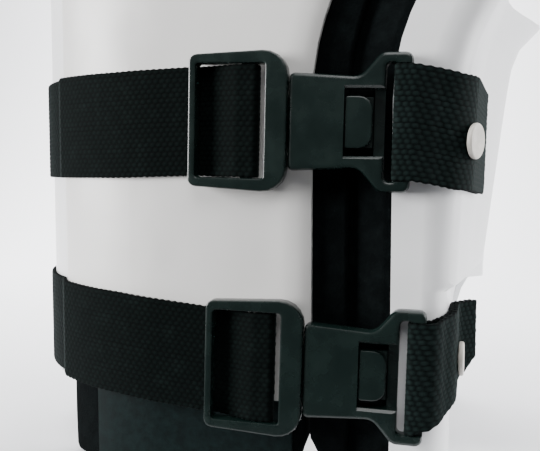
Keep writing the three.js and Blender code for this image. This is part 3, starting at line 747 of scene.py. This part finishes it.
    def rolled(self, along: Array) -> Array:
        """How far the panel's edge is rolled inwards at the gap."""
        return self.roll * np.clip(1 + (along - self.gap_left) / self.roll_run, 0, 1) ** 2


# Work in Blender


def select_none() -> None:
    """Deselects every object."""
    bpy.ops.object.select_all(action="DESELECT")


def alone(piece: bpy.types.Object) -> None:
    """Selects one object and nothing else, in object mode.

    Args:
        piece: The object that becomes the active one.
    """
    if bpy.context.object and bpy.context.object.mode != "OBJECT":
        bpy.ops.object.mode_set(mode="OBJECT")
    select_none()
    piece.select_set(True)
    bpy.context.view_layer.objects.active = piece


@contextmanager
def editing(piece: bpy.types.Object) -> Iterator[None]:
    """Opens one object in edit mode and closes it again.

    Args:
        piece: The object whose mesh is edited.

    Yields:
        Nothing; the operators work on the object's selection.
    """
    alone(piece)
    bpy.ops.object.mode_set(mode="EDIT")
    yield
    bpy.ops.object.mode_set(mode="OBJECT")


def called(piece: bpy.types.Object, name: str) -> bpy.types.Object:
    """Gives an object and its mesh a name."""
    piece.name = name
    piece.data.name = piece.name
    return piece


def finished(piece: bpy.types.Object, kind: str, **settings: object) -> None:
    """Adds a modifier and applies it.

    Args:
        piece: The object that it works on.
        kind: The modifier's type.
        settings: The modifier's settings by name.
    """
    alone(piece)
    bpy.ops.object.modifier_add(type=kind)
    modifier = piece.modifiers[-1]
    for name, value in settings.items():
        setattr(modifier, name, value)
    bpy.ops.object.modifier_apply(modifier=modifier.name)


def bevelled(
    piece: bpy.types.Object, width: float, segments: int, degrees: float, **settings: object
) -> None:
    """Rounds an object's sharp edges.

    Args:
        piece: The object that it works on.
        width: The bevel's width in millimetres.
        segments: How many facets it has.
        degrees: The least turn of an edge that counts as sharp.
        settings: Any other settings of the modifier.
    """
    finished(
        piece, "BEVEL", width=width * METRES, segments=segments, limit_method="ANGLE",
        angle_limit=math.radians(degrees), **settings,
    )


def smoothed(piece: bpy.types.Object, degrees: float) -> None:
    """Smooths the shading over edges flatter than this."""
    alone(piece)
    bpy.ops.object.shade_smooth_by_angle(angle=math.radians(degrees))


def points_of(piece: bpy.types.Object) -> Array:
    """The mesh's points."""
    points = np.zeros(len(piece.data.vertices) * 3)
    piece.data.vertices.foreach_get("co", points)
    return points.reshape(-1, 3)


def move_points(piece: bpy.types.Object, points: Array) -> None:
    """Moves the mesh's points."""
    piece.data.vertices.foreach_set("co", points.astype(np.float32).ravel())
    piece.data.update()


def keep_reading(piece: bpy.types.Object, name: str, values: Array) -> None:
    """Keeps a number on each of the mesh's points."""
    attribute = piece.data.attributes.new(name, "FLOAT", "POINT")
    attribute.data.foreach_set("value", values.astype(np.float32))


def hand_over(
    piece: bpy.types.Object, finish: Finish, nodes: Sequence[str]
) -> bpy.types.Object:
    """Paints a finished piece, rides it on the brace and lets it stand for its solids.

    Args:
        piece: The finished piece.
        finish: What it is made of.
        nodes: The solids that it stands for.

    Returns:
        The same piece.
    """
    piece.data.materials.clear()
    piece.data.materials.append(finish.made())
    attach(piece, BODY)
    if nodes:
        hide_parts(*nodes)
    LOG.info("%s: %d faces", piece.name, len(piece.data.polygons))
    return piece


@dataclass
class Moulding:
    """A rigid piece: its solid's surface with merged points and softly rounded edges."""

    node: str
    finish: Finish
    slot: Slot
    edge: float
    smooth: float = 38.0
    sharp: float = 28.0
    rings: int = 2
    merge: float = 0.02
    flat: float = 0.4
    shade_weight: int = 60

    def build(self, frame: dict) -> bpy.types.Object:
        """Copies the solid's mesh, merges it and rounds its edges.


        Returns:
            The finished piece.
        """
        source = frame["nodes"][self.node]
        piece = bpy.data.objects.new(f"{self.node}_moulding", source.data.copy())
        bpy.context.scene.collection.objects.link(piece)
        with editing(piece):
            bpy.ops.mesh.select_all(action="SELECT")
            bpy.ops.mesh.customdata_custom_splitnormals_clear()
            bpy.ops.mesh.remove_doubles(threshold=self.merge * METRES)
            bpy.ops.mesh.dissolve_limited(angle_limit=math.radians(self.flat))
        bevelled(
            piece, self.edge, self.rings, self.sharp,
            use_clamp_overlap=True, harden_normals=False, miter_outer="MITER_ARC",
        )
        smoothed(piece, self.smooth)
        finished(piece, "WEIGHTED_NORMAL", keep_sharp=True, weight=self.shade_weight)
        return hand_over(piece, self.finish, [self.node])


@dataclass
class Slab:
    """A soft slab on the shell's inside, crowned towards its edges.

    The tables give its lower and upper edge and its outer face by place along the plan.
    """

    node: str
    girdle: Girdle
    places: Rows
    lower: Rows
    upper: Rows
    out: Callable[[Array], Array]
    thickness: float
    crown: float = 2.2
    cuts: int = 63
    least_share: float = 0.04
    smooth: float = 60.0

    def build(self) -> bpy.types.Object:
        """Shapes a divided cube into the slab.

        Returns:
            The finished piece, not yet painted.
        """
        select_none()
        bpy.ops.mesh.primitive_cube_add(size=1)
        piece = called(bpy.context.object, f"{self.node}_padding")
        with editing(piece):
            bpy.ops.mesh.subdivide(number_cuts=self.cuts)
        unit = points_of(piece) + 0.5
        along = reading(self.places, unit[:, 0])
        low, high = reading(self.lower, along), reading(self.upper, along)
        height = low + (high - low) * unit[:, 2]
        edge = np.minimum.reduce([
            along - self.places[0][1], self.places[-1][1] - along, height - low, high - height,
        ])
        inset = 1 - np.clip(edge / self.crown, 0, 1)
        full = np.sqrt(np.maximum(1 - inset ** 2, self.least_share))
        depth = (unit[:, 1] - 0.5) * full + 0.5
        out = self.out(along) - self.thickness * depth
        move_points(piece, self.girdle.on_shell(along, out, height))
        with editing(piece):
            bpy.ops.mesh.select_all(action="SELECT")
            bpy.ops.mesh.normals_make_consistent(inside=False)
        smoothed(piece, self.smooth)
        return piece


@dataclass
class Webbing:
    """A flat woven band that follows the shell and turns round the buckle's bars.

    Its route is a path of corners, along the plan and out from the shell's face.
    """

    name: str
    girdle: Girdle
    route: Sequence[Corner]
    level: Rows
    hold: Rows
    tilt: float
    weave: Weave
    lower_cut: Rows = ((0.0, 0.0),)
    width: float = 39.0
    thickness: float = 1.45
    cell: float = 0.46
    pick: float = 2.4
    row: float = 1.77
    rise: float = 0.24
    scallop: float = 0.16
    step: float = 12.0
    lead: float = 0.4
    rim: float = 0.8
    rim_share: float = 0.35
    edge: float = 0.35
    sharp: float = 72.0

    def relief(self, along: Array, across: Array) -> Array:
        """Height of the weave.

        Args:
            along: Distances along the band.
            across: Distances up from its lower edge.

        Returns:
            One height from nought to one for each place.
        """
        rows = across / self.row
        rank = np.floor(rows)
        rib = np.sin(math.pi * (rows - rank)) ** 0.7
        shift = self.weave.value * rank
        picks = along / self.pick + shift
        bump = np.abs(np.cos(math.pi * picks)) ** 1.3
        return rib * (0.25 + 0.75 * bump)

    def build(self) -> bpy.types.Object:
        """Lays a fine grid along the route, weaves its relief and gives it thickness.

        Returns:
            The finished piece, not yet painted.
        """
        path, _ = rounded(self.route, False, self.step)
        steps = np.linalg.norm(np.diff(path, axis=0), axis=1)
        reached = np.concatenate([[0.0], np.cumsum(steps)])
        columns = int(reached[-1] / self.cell)
        rows = int(self.width / self.cell)
        select_none()
        bpy.ops.mesh.primitive_grid_add(x_subdivisions=columns, y_subdivisions=rows, size=1)
        piece = called(bpy.context.object, f"{self.name}_weave")
        unit = points_of(piece)[:, :2] + 0.5
        run = unit[:, 0] * reached[-1]
        place, ahead, behind = (
            np.stack([np.interp(spot, reached, path[:, i]) for i in (0, 1)], axis=1)
            for spot in (run, run + self.lead, run - self.lead)
        )
        tangent = ahead - behind
        tangent /= np.linalg.norm(tangent, axis=1, keepdims=True)
        normal = np.stack([-tangent[:, 1], tangent[:, 0]], axis=1)
        half = self.width / 2
        level = reading(self.level, place[:, 0])
        fringe = self.scallop * np.cos(2 * math.pi * run / self.pick)
        low = level - half + reading(self.lower_cut, place[:, 0]) - fringe
        high = level + half + fringe
        height = low + (high - low) * unit[:, 1]
        across = height - level + half
        hold = reading(self.hold, place[:, 0])
        aside = (0.5 - unit[:, 1]) * math.tan(self.tilt) * hold * (high - low)
        inwards = np.minimum(unit[:, 1], 1 - unit[:, 1]) * self.width
        woven = self.relief(run, across) * np.clip(inwards / self.rim, self.rim_share, 1)
        lifted = place + normal * (woven * self.rise - self.rise / 2)[:, None]
        move_points(piece, self.girdle.on_shell(
            lifted[:, 0] + aside, lifted[:, 1], height, 1 - hold,
        ))
        keep_reading(piece, "relief", woven)
        keep_reading(piece, "along", run * METRES)
        keep_reading(piece, "across", across * METRES)
        finished(
            piece, "SOLIDIFY", thickness=self.thickness * METRES, offset=0.0, use_rim=True,
            use_even_offset=False,
        )
        bevelled(piece, self.edge, 1, self.sharp, use_clamp_overlap=True)
        alone(piece)
        bpy.ops.object.shade_smooth()
        return piece


@dataclass
class Rivet:
    """A pale rivet: a flat cap with a rounded rim and a shallow ring, on a short shank."""

    node: str
    girdle: Girdle
    along: float
    height: float
    seat: float
    inside: float
    cap: float = 6.2
    lift: float = 1.8
    rim: float = 1.2
    dome: float = 0.12
    hollow: float = 0.25
    hollow_share: float = 0.3
    rounding: float = 0.6
    sharp: float = 50.0
    smooth: float = 35.0
    sides: int = 56
    shank: float = 2.2
    shank_top: float = 0.4
    disc: float = 4.5
    disc_lift: float = 1.0
    disc_rounding: float = 0.3

    def build(self) -> bpy.types.Object:
        """Shapes the cap from a cylinder, then adds the shank and the inner disc.

        Returns:
            The finished piece, not yet painted.
        """
        back = self.inside - self.seat
        cap = self.turned(self.cap, 0.0, self.lift)
        with editing(cap):
            self.pick_top(cap)
            bpy.ops.mesh.inset(thickness=self.rim * METRES)
            bpy.ops.transform.translate(value=(0, 0, self.dome * METRES))
            bpy.ops.mesh.inset(thickness=self.cap * self.hollow_share * METRES)
            bpy.ops.transform.translate(value=(0, 0, -self.hollow * METRES))
        bevelled(cap, self.rounding, 5, self.sharp, use_clamp_overlap=True)
        shank = self.turned(self.shank, back, self.shank_top)
        disc = self.turned(self.disc, back - self.disc_lift, back)
        bevelled(disc, self.disc_rounding, 2, self.sharp)
        select_none()
        for part in (shank, disc, cap):
            part.select_set(True)
        bpy.context.view_layer.objects.active = cap
        bpy.ops.object.join()
        called(cap, f"{self.node}_head")
        cap.data.transform(self.stance())
        smoothed(cap, self.smooth)
        return cap

    def turned(self, radius: float, bottom: float, top: float) -> bpy.types.Object:
        """A round bar over the seat.

        Args:
            radius: The bar's radius.
            bottom: The height of its lower end.
            top: The height of its upper end.

        Returns:
            The bar, with its place in its mesh.
        """
        select_none()
        bpy.ops.mesh.primitive_cylinder_add(
            vertices=self.sides, radius=radius * METRES, depth=(top - bottom) * METRES,
        )
        bar = bpy.context.object
        bar.data.transform(Matrix.Translation((0, 0, (top + bottom) / 2 * METRES)))
        return bar

    @staticmethod
    def pick_top(piece: bpy.types.Object) -> None:
        """Selects, in edit mode, the faces that look upwards.

        Args:
            piece: The object that is being edited.
        """
        bpy.ops.object.mode_set(mode="OBJECT")
        for polygon in piece.data.polygons:
            polygon.select = polygon.normal.z > UPWARDS
        for part in (*piece.data.edges, *piece.data.vertices):
            part.select = False
        bpy.ops.object.mode_set(mode="EDIT")
        bpy.ops.mesh.select_mode(type="FACE")

    def stance(self) -> Matrix:
        """Stands the rivet square on the shell's face.

        Returns:
            The turn and the move from the origin.
        """
        def point(along: float, height: float) -> Vector:
            """A point of the face."""
            found = self.girdle.on_shell(np.array(along), np.array(0.0), np.array(height))
            return Vector([float(value) for value in found])
        seat = point(self.along, self.height)
        onward = point(self.along + 1, self.height) - seat
        upward = point(self.along, self.height + 1) - seat
        axis = onward.cross(upward).normalized()
        turn = axis.to_track_quat("Z", "Y").to_matrix().to_4x4()
        return Matrix.Translation(seat + axis * self.seat * METRES) @ turn


# Sub-assemblies


@dataclass
class Shells:
    """The white wrap shell and the front panel over it."""

    shell_edge: float = 0.75
    panel_edge: float = 0.45
    smooth: float = 40.0
    sharp: float = 48.0
    shell_plastic: ShellPlastic = ShellPlastic()
    # the panel's white is slightly warmer, and its darker base is painted shade for the lesser
    # light the panel gets
    shaded_panel_plastic: ShellPlastic = ShellPlastic(
        "warm_shaded_white_moulding", pale=(0.745, 0.735, 0.715), shade=(0.71, 0.70, 0.685),
    )

    def build(self, frame: dict) -> None:
        """Both mouldings, the panel in a slightly warmer white whose base is also darker, as
        painted shade for the lesser light on the panel.
        """
        for node, plastic, edge in (
            ("main_shell", self.shell_plastic, self.shell_edge),
            ("front_panel", self.shaded_panel_plastic, self.panel_edge),
        ):
            Moulding(node, plastic, Slot.SHELL, edge, self.smooth, self.sharp, rings=3).build(frame)


@dataclass
class Padding:
    """The black lining behind the gap, the pad below the panel and the plate on it.

    The notch's rows are shares of the liner's lap, past the gap's left edge, and of the
    cut's height. The foot's rows are lengths from the pad's right edge and heights.
    """

    girdle: Girdle
    liner: float = 4.0
    drop: float = 2.0
    tuck: float = 6.0
    depth: float = 10.0
    reach: float = 58.0
    lap_cut: float = 54.0
    notch: Rows = ((-0.09, 1.0), (-0.075, 0.35), (0.18, 0.23), (0.54, 0.0))
    liner_crown: float = 1.6
    pad_left: float = -85.4
    pad_slant: float = 3.2
    pad_right: float = 27.3
    pad_top: float = 51.0
    pad_radius: float = 8.0
    pad_thickness: float = 6.0
    pad_crown: float = 2.6
    pad_fill: float = 0.8
    foot: Rows = ((-5.0, 0.0), (-2.5, 12.5), (0.0, 19.0))
    plate_thickness: float = 2.5
    plate_edge: float = 0.6

    @property
    def liner_edge(self) -> float:
        """Where the panel's liner ends, behind the gap."""
        return self.girdle.gap_left + self.girdle.liner_lap

    @property
    def liner_top(self) -> float:
        """The height of both liners' upper edge."""
        return self.girdle.height - self.drop

    @property
    def behind(self) -> float:
        """How far in the shells' inner face is, with its clearance."""
        return -self.girdle.wall - CLEARANCE

    def build(self, frame: dict) -> None:
        """The two liners, the pad and the plate.
        """
        foam = BlackFoam()
        for slab in (self.panel_liner(), self.main_liner()):
            hand_over(slab.build(), foam, [slab.node])
        pad = self.lower_pad()
        piece = hand_over(pad.build(), foam, [pad.node])
        Moulding(
            "lower_plate", MottledPlate(), Slot.PLATE, self.plate_edge,
            smooth=34.0, sharp=40.0, rings=3,
        ).build(frame)

    def panel_liner(self) -> Slab:
        """The liner bonded in the panel, with the notch below the gap.

        Returns:
            The liner, not yet shaped.
        """
        gap, lap = self.girdle.gap_left, self.girdle.liner_lap
        start = gap - self.reach
        lower = [
            (start, self.lap_cut),
            *((gap + past * lap, up * self.lap_cut) for past, up in self.notch),
            (self.liner_edge, 0.0),
        ]
        return Slab(
            "panel_liner", self.girdle,
            places=[(0.0, start), (0.4, gap - 2), (1.0, self.liner_edge)],
            lower=lower, upper=[(start, self.liner_top), (self.liner_edge, self.liner_top)],
            out=lambda along: self.behind - self.girdle.rolled(along),
            thickness=self.liner, crown=self.liner_crown,
        )

    def main_liner(self) -> Slab:
        """The liner bonded in the wrap shell, behind the panel's liner.

        Returns:
            The liner, not yet shaped.
        """
        start = self.liner_edge - self.tuck
        end = self.girdle.gap_right + self.depth
        under = self.behind - self.liner - CLEARANCE - self.girdle.roll
        rows = [(self.liner_edge + 1, under), (self.girdle.gap_right - 3, self.behind)]
        return Slab(
            "main_liner", self.girdle,
            places=[(0.0, start), (1.0, end)],
            lower=[(start, 0.0), (end, 0.0)],
            upper=[(start, self.liner_top), (end, self.liner_top)],
            out=lambda along: reading(rows, along),
            thickness=self.liner, crown=self.liner_crown,
        )

    def lower_pad(self) -> Slab:
        """The pad below the panel, rounded at its upper corners.

        Returns:
            The pad, not yet shaped.
        """
        left, right, radius = self.pad_left, self.pad_right, self.pad_radius
        share = np.linspace(0, 1, 9)
        drop = radius - np.sqrt(np.maximum(0, radius ** 2 - (radius * (1 - share)) ** 2))
        upper = [(left + radius * s, self.pad_top - d) for s, d in zip(share, drop)]
        upper += [(right - radius * s, self.pad_top - d) for s, d in zip(share, drop)][::-1]
        face = self.behind - self.plate_thickness - CLEARANCE
        return Slab(
            "lower_pad", self.girdle,
            places=[(0.0, left), (0.12, left + radius), (0.88, right - radius), (1.0, right)],
            lower=[
                (left, self.pad_top - radius), (left + self.pad_slant, 0.0),
                *((right + past, up) for past, up in self.foot),
            ],
            upper=upper,
            out=lambda along: face - self.girdle.rolled(along),
            thickness=self.pad_thickness, crown=self.pad_crown,
        )


@dataclass
class Buckle:
    """The buckle's places along the strap, before a closure is shifted."""

    left: float = -14.0
    ring_width: float = 35.6
    left_bar: float = 2.8
    right_bar: float = 8.0
    centre_bar: float = 4.6
    centre_slot: float = 4.2
    centre_depth: float = 2.2
    centre_sink: float = 1.1
    body_length: float = 24.6
    flare_length: float = 7.4
    yoke_length: float = 10.0
    end_bar: float = 4.4
    slot_width: float = 4.5
    webbing: float = 1.6

    def __post_init__(self) -> None:
        """Adds up the places."""
        self.ring_right = self.left + self.ring_width
        self.bar_left = self.ring_right - self.right_bar - self.centre_slot - self.centre_bar
        self.bar_right = self.bar_left + self.centre_bar
        self.yoke_right = (
            self.ring_right + CLEARANCE + self.body_length + self.flare_length + self.yoke_length
        )
        self.slot_right = self.yoke_right - self.end_bar
        self.slot_left = self.slot_right - self.slot_width
        self.pivot = (self.left + self.yoke_right) / 2
        self.back = 2 * CLEARANCE + self.webbing
        self.bar_back = self.back + self.centre_sink
        self.bar_front = self.bar_back + self.centre_depth
        self.wrap = CLEARANCE + self.webbing / 2


@dataclass
class Closure:
    """One closure: a strap, a fastened buckle and an anchor strap, with their rivets.

    Rises, reaches and cuts are in shares of the webbing's width, as in the solids.
    """

    name: str
    girdle: Girdle
    level: float
    tilt: float
    strap_rise: tuple[float, float]
    chape_from: float
    chape_rise: tuple[float, float]
    chape_reach: float
    chape_cut: Rows
    lift: float
    rivet_reach: float
    rivet_rise: float
    shift: float = 0.0
    width: float = 38.0
    hold_run: float = 31.0
    strap_reach: float = 74.0
    strap_rivet_inset: float = 14.0
    rivet_back: float = 1.4
    turn_radius: float = 1.3
    step_radius: float = 3.0
    bend_radius: float = 4.0
    lift_radius: float = 7.0
    lift_past: float = 7.2
    yoke_clear: float = 1.0
    yoke_run: float = 5.0
    buckle_edge: float = 0.35
    buckle: Buckle = field(default_factory=Buckle)

    def __post_init__(self) -> None:
        """Places the closure along the plan."""
        buckle = self.buckle
        self.yoke_end = buckle.yoke_right + self.shift
        self.chape_end = self.yoke_end + self.chape_reach * self.width
        self.chape_rivet = self.yoke_end + self.rivet_reach * self.width
        self.strap_end = self.girdle.panel_edge - self.strap_reach
        hold_start = buckle.left - self.hold_run
        self.hold = [
            (hold_start, 0.0), (buckle.left + self.shift, 1.0),
            (self.yoke_end + self.yoke_clear, 1.0), (self.yoke_end + self.yoke_run, 0.0),
        ]
        self.strap_level = [
            (self.girdle.panel_edge, self.level + self.strap_rise[0] * self.width),
            (hold_start, self.level + self.strap_rise[1] * self.width),
            (buckle.left + self.shift, self.level + self.buckle_rise(buckle.left)),
            (buckle.ring_right + self.shift, self.level + self.buckle_rise(buckle.ring_right)),
        ]
        self.chape_level = [
            (buckle.slot_left + self.shift, self.level + self.buckle_rise(buckle.slot_left)),
            (
                self.yoke_end + self.yoke_clear,
                self.level + self.buckle_rise(buckle.yoke_right + self.yoke_clear),
            ),
            (self.chape_from, self.level + self.chape_rise[0] * self.width),
            (self.chape_end, self.level + self.chape_rise[1] * self.width),
        ]

    def buckle_rise(self, along: float) -> float:
        """How high the tilted buckle's middle line runs at a place of it."""
        return (along - self.buckle.pivot) * math.tan(self.tilt)

    def strap(self) -> Webbing:
        """From the left side over the panel's edge to the ring's centre bar.

        Returns:
            The strap, not yet woven.
        """
        buckle, shift, edge = self.buckle, self.shift, self.girdle.panel_edge
        turned, stepped, bent = self.turn_radius, self.step_radius, self.bend_radius
        middle = buckle.wrap
        lap_step = self.girdle.wall + CLEARANCE
        edge_step = self.girdle.wall - self.girdle.panel_edge_wall
        front = buckle.bar_front + buckle.wrap
        under = buckle.bar_back - buckle.wrap
        turn = buckle.bar_right + buckle.wrap + shift
        route = [
            Corner("", self.strap_end, middle - lap_step),
            Corner("", edge - 4, middle - lap_step, 2 * stepped),
            Corner("", edge - 0.5, middle - edge_step, stepped),
            Corner("", edge + self.girdle.panel_thinning / 2, middle, stepped),
            Corner("", buckle.left + buckle.left_bar + 1 + shift, middle, bent),
            Corner("", buckle.bar_left - 1.5 + shift, front, bent),
            Corner("", turn, front, turned),
            Corner("", turn, under, turned),
            Corner("", buckle.bar_left + 1 + shift, under),
        ]
        return Webbing(
            f"{self.name}_strap", self.girdle, route, self.strap_level, self.hold, self.tilt,
            Weave.BRICK,
        )

    def chape(self) -> Webbing:
        """The anchor strap, folded round the receiver's end bar.

        Returns:
            The anchor strap, not yet woven.
        """
        buckle, shift = self.buckle, self.shift
        turned, lifted = self.turn_radius, self.lift_radius
        over = buckle.bar_front + buckle.wrap
        under = buckle.back - buckle.wrap
        stacked = under + buckle.webbing + CLEARANCE
        loop = buckle.slot_right - buckle.wrap + shift
        lift_start = self.chape_rivet + self.lift_past
        lift = self.lift * self.width
        route = [
            Corner("", self.chape_end, under + lift),
            Corner("", lift_start, under, lifted),
            Corner("", loop, under, turned),
            Corner("", loop, over, turned),
            Corner("", self.yoke_end + self.yoke_clear, over, self.step_radius),
            Corner("", self.yoke_end + 7, stacked, 5),
            Corner("", lift_start, stacked, lifted),
            Corner("", self.chape_end, stacked + lift),
        ]
        cut = [
            (self.chape_end - back * self.width, lost * self.width)
            for back, lost in reversed(self.chape_cut)
        ]
        return Webbing(
            f"{self.name}_chape", self.girdle, route, self.chape_level, self.hold, self.tilt,
            Weave.TWILL, lower_cut=cut,
        )

    def rivets(self) -> list[Rivet]:
        """The rivet of the anchor strap and the one at the strap's hidden end.

        Returns:
            Both rivets, not yet shaped.
        """
        wall, webbing = self.girdle.wall, self.buckle.webbing
        inside = -wall - self.rivet_back
        lap = -wall - CLEARANCE
        chape_height = float(reading(self.chape_level, np.array(self.chape_rivet)))
        strap_rivet = self.strap_end + self.strap_rivet_inset
        strap_height = float(reading(self.strap_level, np.array(strap_rivet)))
        return [
            Rivet(
                f"{self.name}_chape_rivet", self.girdle, self.chape_rivet,
                chape_height + self.rivet_rise * self.width, 3 * CLEARANCE + 2 * webbing, inside,
            ),
            Rivet(
                f"{self.name}_strap_rivet", self.girdle, strap_rivet, strap_height,
                2 * CLEARANCE + webbing + lap, lap + inside,
            ),
        ]

    @staticmethod
    def stuff(band: Webbing) -> WovenWebbing:
        """The webbing's finish; on the diagonal weave a paler copy, painted lighter as painted
        light on the anchor straps.

        Args:
            band: The strap or the anchor strap.

        Returns:
            The finish.
        """
        if band.weave is Weave.BRICK:
            return WovenWebbing()
        # a paler copy of the same webbing: its lighter rib and faded colours are painted light on
        # the anchor straps
        return WovenWebbing(
            "lit_black_twill_webbing", rib=(0.0080, 0.0150, 0.0140), faded=(0.020, 0.032, 0.031),
        )

    def build(self, frame: dict) -> None:
        """The webbing, the two halves of the buckle and the rivets.
        """
        for band in (self.strap(), self.chape()):
            hand_over(band.build(), self.stuff(band), [band.name])
        plastic = BuckleMoulding()
        for half in ("ring_buckle", "receiver"):
            Moulding(f"{self.name}_{half}", plastic, Slot.BUCKLE, self.buckle_edge).build(frame)
        for rivet in self.rivets():
            hand_over(rivet.build(), PaleRivet(), [rivet.node])


# Studio


@dataclass(frozen=True)
class Lamp:
    """A square soft light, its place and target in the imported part's frame."""

    name: str
    place: tuple[float, float, float]
    target: tuple[float, float, float]
    size: float
    watts: float

    def hang(self) -> None:
        """Hangs it and turns it to its target."""
        select_none()
        at = Vector(self.place) * METRES
        bpy.ops.object.light_add(type="AREA", location=at)
        lamp = bpy.context.object
        lamp.name = self.name
        lamp.data.size = self.size * METRES
        lamp.data.energy = self.watts
        away = Vector(self.target) * METRES - at
        lamp.rotation_euler = away.to_track_quat("-Z", "Y").to_euler()


@dataclass
class Studio:
    """Pale floor and backdrop, soft lights and the camera at the photograph's angle."""

    camera: tuple[float, float, float] = (65.12, -333.9, 118.0)
    yaw: float = 12.2
    pitch: float = -4.2
    lens: float = 50.0
    sensor: float = 36.0
    near: float = 10.0
    sky: Colour = (0.80, 0.81, 0.84)
    sky_strength: float = 0.15
    paper_size: float = 4000.0
    paper_cuts: int = 47
    paper_front: float = -120.0
    sweep_from: float = 550.0
    sweep_radius: float = 900.0
    lamps: tuple[Lamp, ...] = (
        Lamp("key_light", (-740.0, -440.0, 260.0), (0.0, -40.0, 100.0), 380.0, 16.0),
        Lamp("overhead_light", (60.0, -60.0, 620.0), (40.0, -60.0, 90.0), 460.0, 4.0),
        Lamp("front_light", (90.0, -480.0, 530.0), (40.0, -80.0, 100.0), 330.0, 1.8),
        Lamp("side_light", (660.0, 110.0, 260.0), (90.0, -20.0, 110.0), 420.0, 6.5),
        Lamp("backdrop_light", (-260.0, 420.0, 900.0), (-320.0, 1300.0, 300.0), 600.0, 50.0),
    )

    def build(self) -> None:
        """Sets the stage."""
        self.paper()
        self.sky_light()
        for lamp in self.lamps:
            lamp.hang()
        self.place_camera()

    def paper(self) -> None:
        """A floor that rises into the backdrop in one sweep."""
        select_none()
        bpy.ops.mesh.primitive_plane_add(size=self.paper_size * METRES)
        floor = called(bpy.context.object, "studio_floor")
        with editing(floor):
            bpy.ops.mesh.subdivide(number_cuts=self.paper_cuts)
        points = points_of(floor)
        points[:, 1] = np.maximum(points[:, 1], self.paper_front * METRES)
        bend, rise = self.sweep_from * METRES, self.sweep_radius * METRES
        past = np.clip(points[:, 1] - bend, 0, None)
        turn = np.clip(past / rise, 0, math.pi / 2)
        points[:, 2] = rise * (1 - np.cos(turn)) + np.clip(past - rise * math.pi / 2, 0, None)
        points[:, 1] = np.minimum(points[:, 1], bend) + rise * np.sin(turn)
        move_points(floor, points)
        alone(floor)
        bpy.ops.object.shade_smooth()
        floor.data.materials.append(StudioPaper().made())

    def sky_light(self) -> None:
        """Even light from all round."""
        world = bpy.data.worlds.new("studio_air")
        bpy.context.scene.world = world
        world.use_nodes = True
        background = world.node_tree.nodes["Background"]
        background.inputs["Color"].default_value = (*self.sky, 1.0)
        background.inputs["Strength"].default_value = self.sky_strength

    def place_camera(self) -> None:
        """The camera at the photograph's place and angle."""
        data = bpy.data.cameras.new("photo_camera")
        data.lens = self.lens
        data.sensor_width = self.sensor
        data.clip_start = self.near * METRES
        camera = bpy.data.objects.new("photo_camera", data)
        camera.location = Vector(self.camera) * METRES
        camera.rotation_euler = (math.radians(90 + self.pitch), 0.0, math.radians(self.yaw))
        bpy.context.scene.collection.objects.link(camera)
        bpy.context.scene.camera = camera


def closures(girdle: Girdle) -> list[Closure]:
    """The upper and the lower closure.

    Args:
        girdle: The shell that they are fixed to.

    Returns:
        Both closures, not yet built.
    """
    crease_end = girdle.corner("crease")[1]
    return [
        Closure(
            "upper", girdle, level=134.8, tilt=math.radians(-1.3), strap_rise=(0.0, 0.0),
            chape_from=girdle.middle("crease"), chape_rise=(-0.1, -0.174), chape_reach=1.5,
            chape_cut=[(0.0, 0.05), (0.05, 0.0)], lift=0.0, rivet_reach=0.47, rivet_rise=-0.065,
        ),
        Closure(
            "lower", girdle, level=47.5, tilt=math.radians(-1.5), strap_rise=(0.184, 0.132),
            chape_from=crease_end, chape_rise=(0.042, 0.063), chape_reach=0.9,
            chape_cut=[(0.0, 0.47), (0.11, 0.33), (0.32, 0.21), (0.63, 0.17), (0.82, 0.09),
                       (1.0, 0.0)],
            lift=0.17, rivet_reach=0.53, rivet_rise=0.013, shift=5.5,
        ),
    ]


def main() -> None:
    """Builds the brace around its solids and sets the stage."""
    logging.basicConfig(level=logging.INFO, format="%(name)s %(message)s")
    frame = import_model()
    select_none()
    girdle = Girdle()
    Shells().build(frame)
    Padding(girdle).build(frame)
    for closure in closures(girdle):
        closure.build(frame)
    Studio().build()


if __name__ == "__main__":
    main()
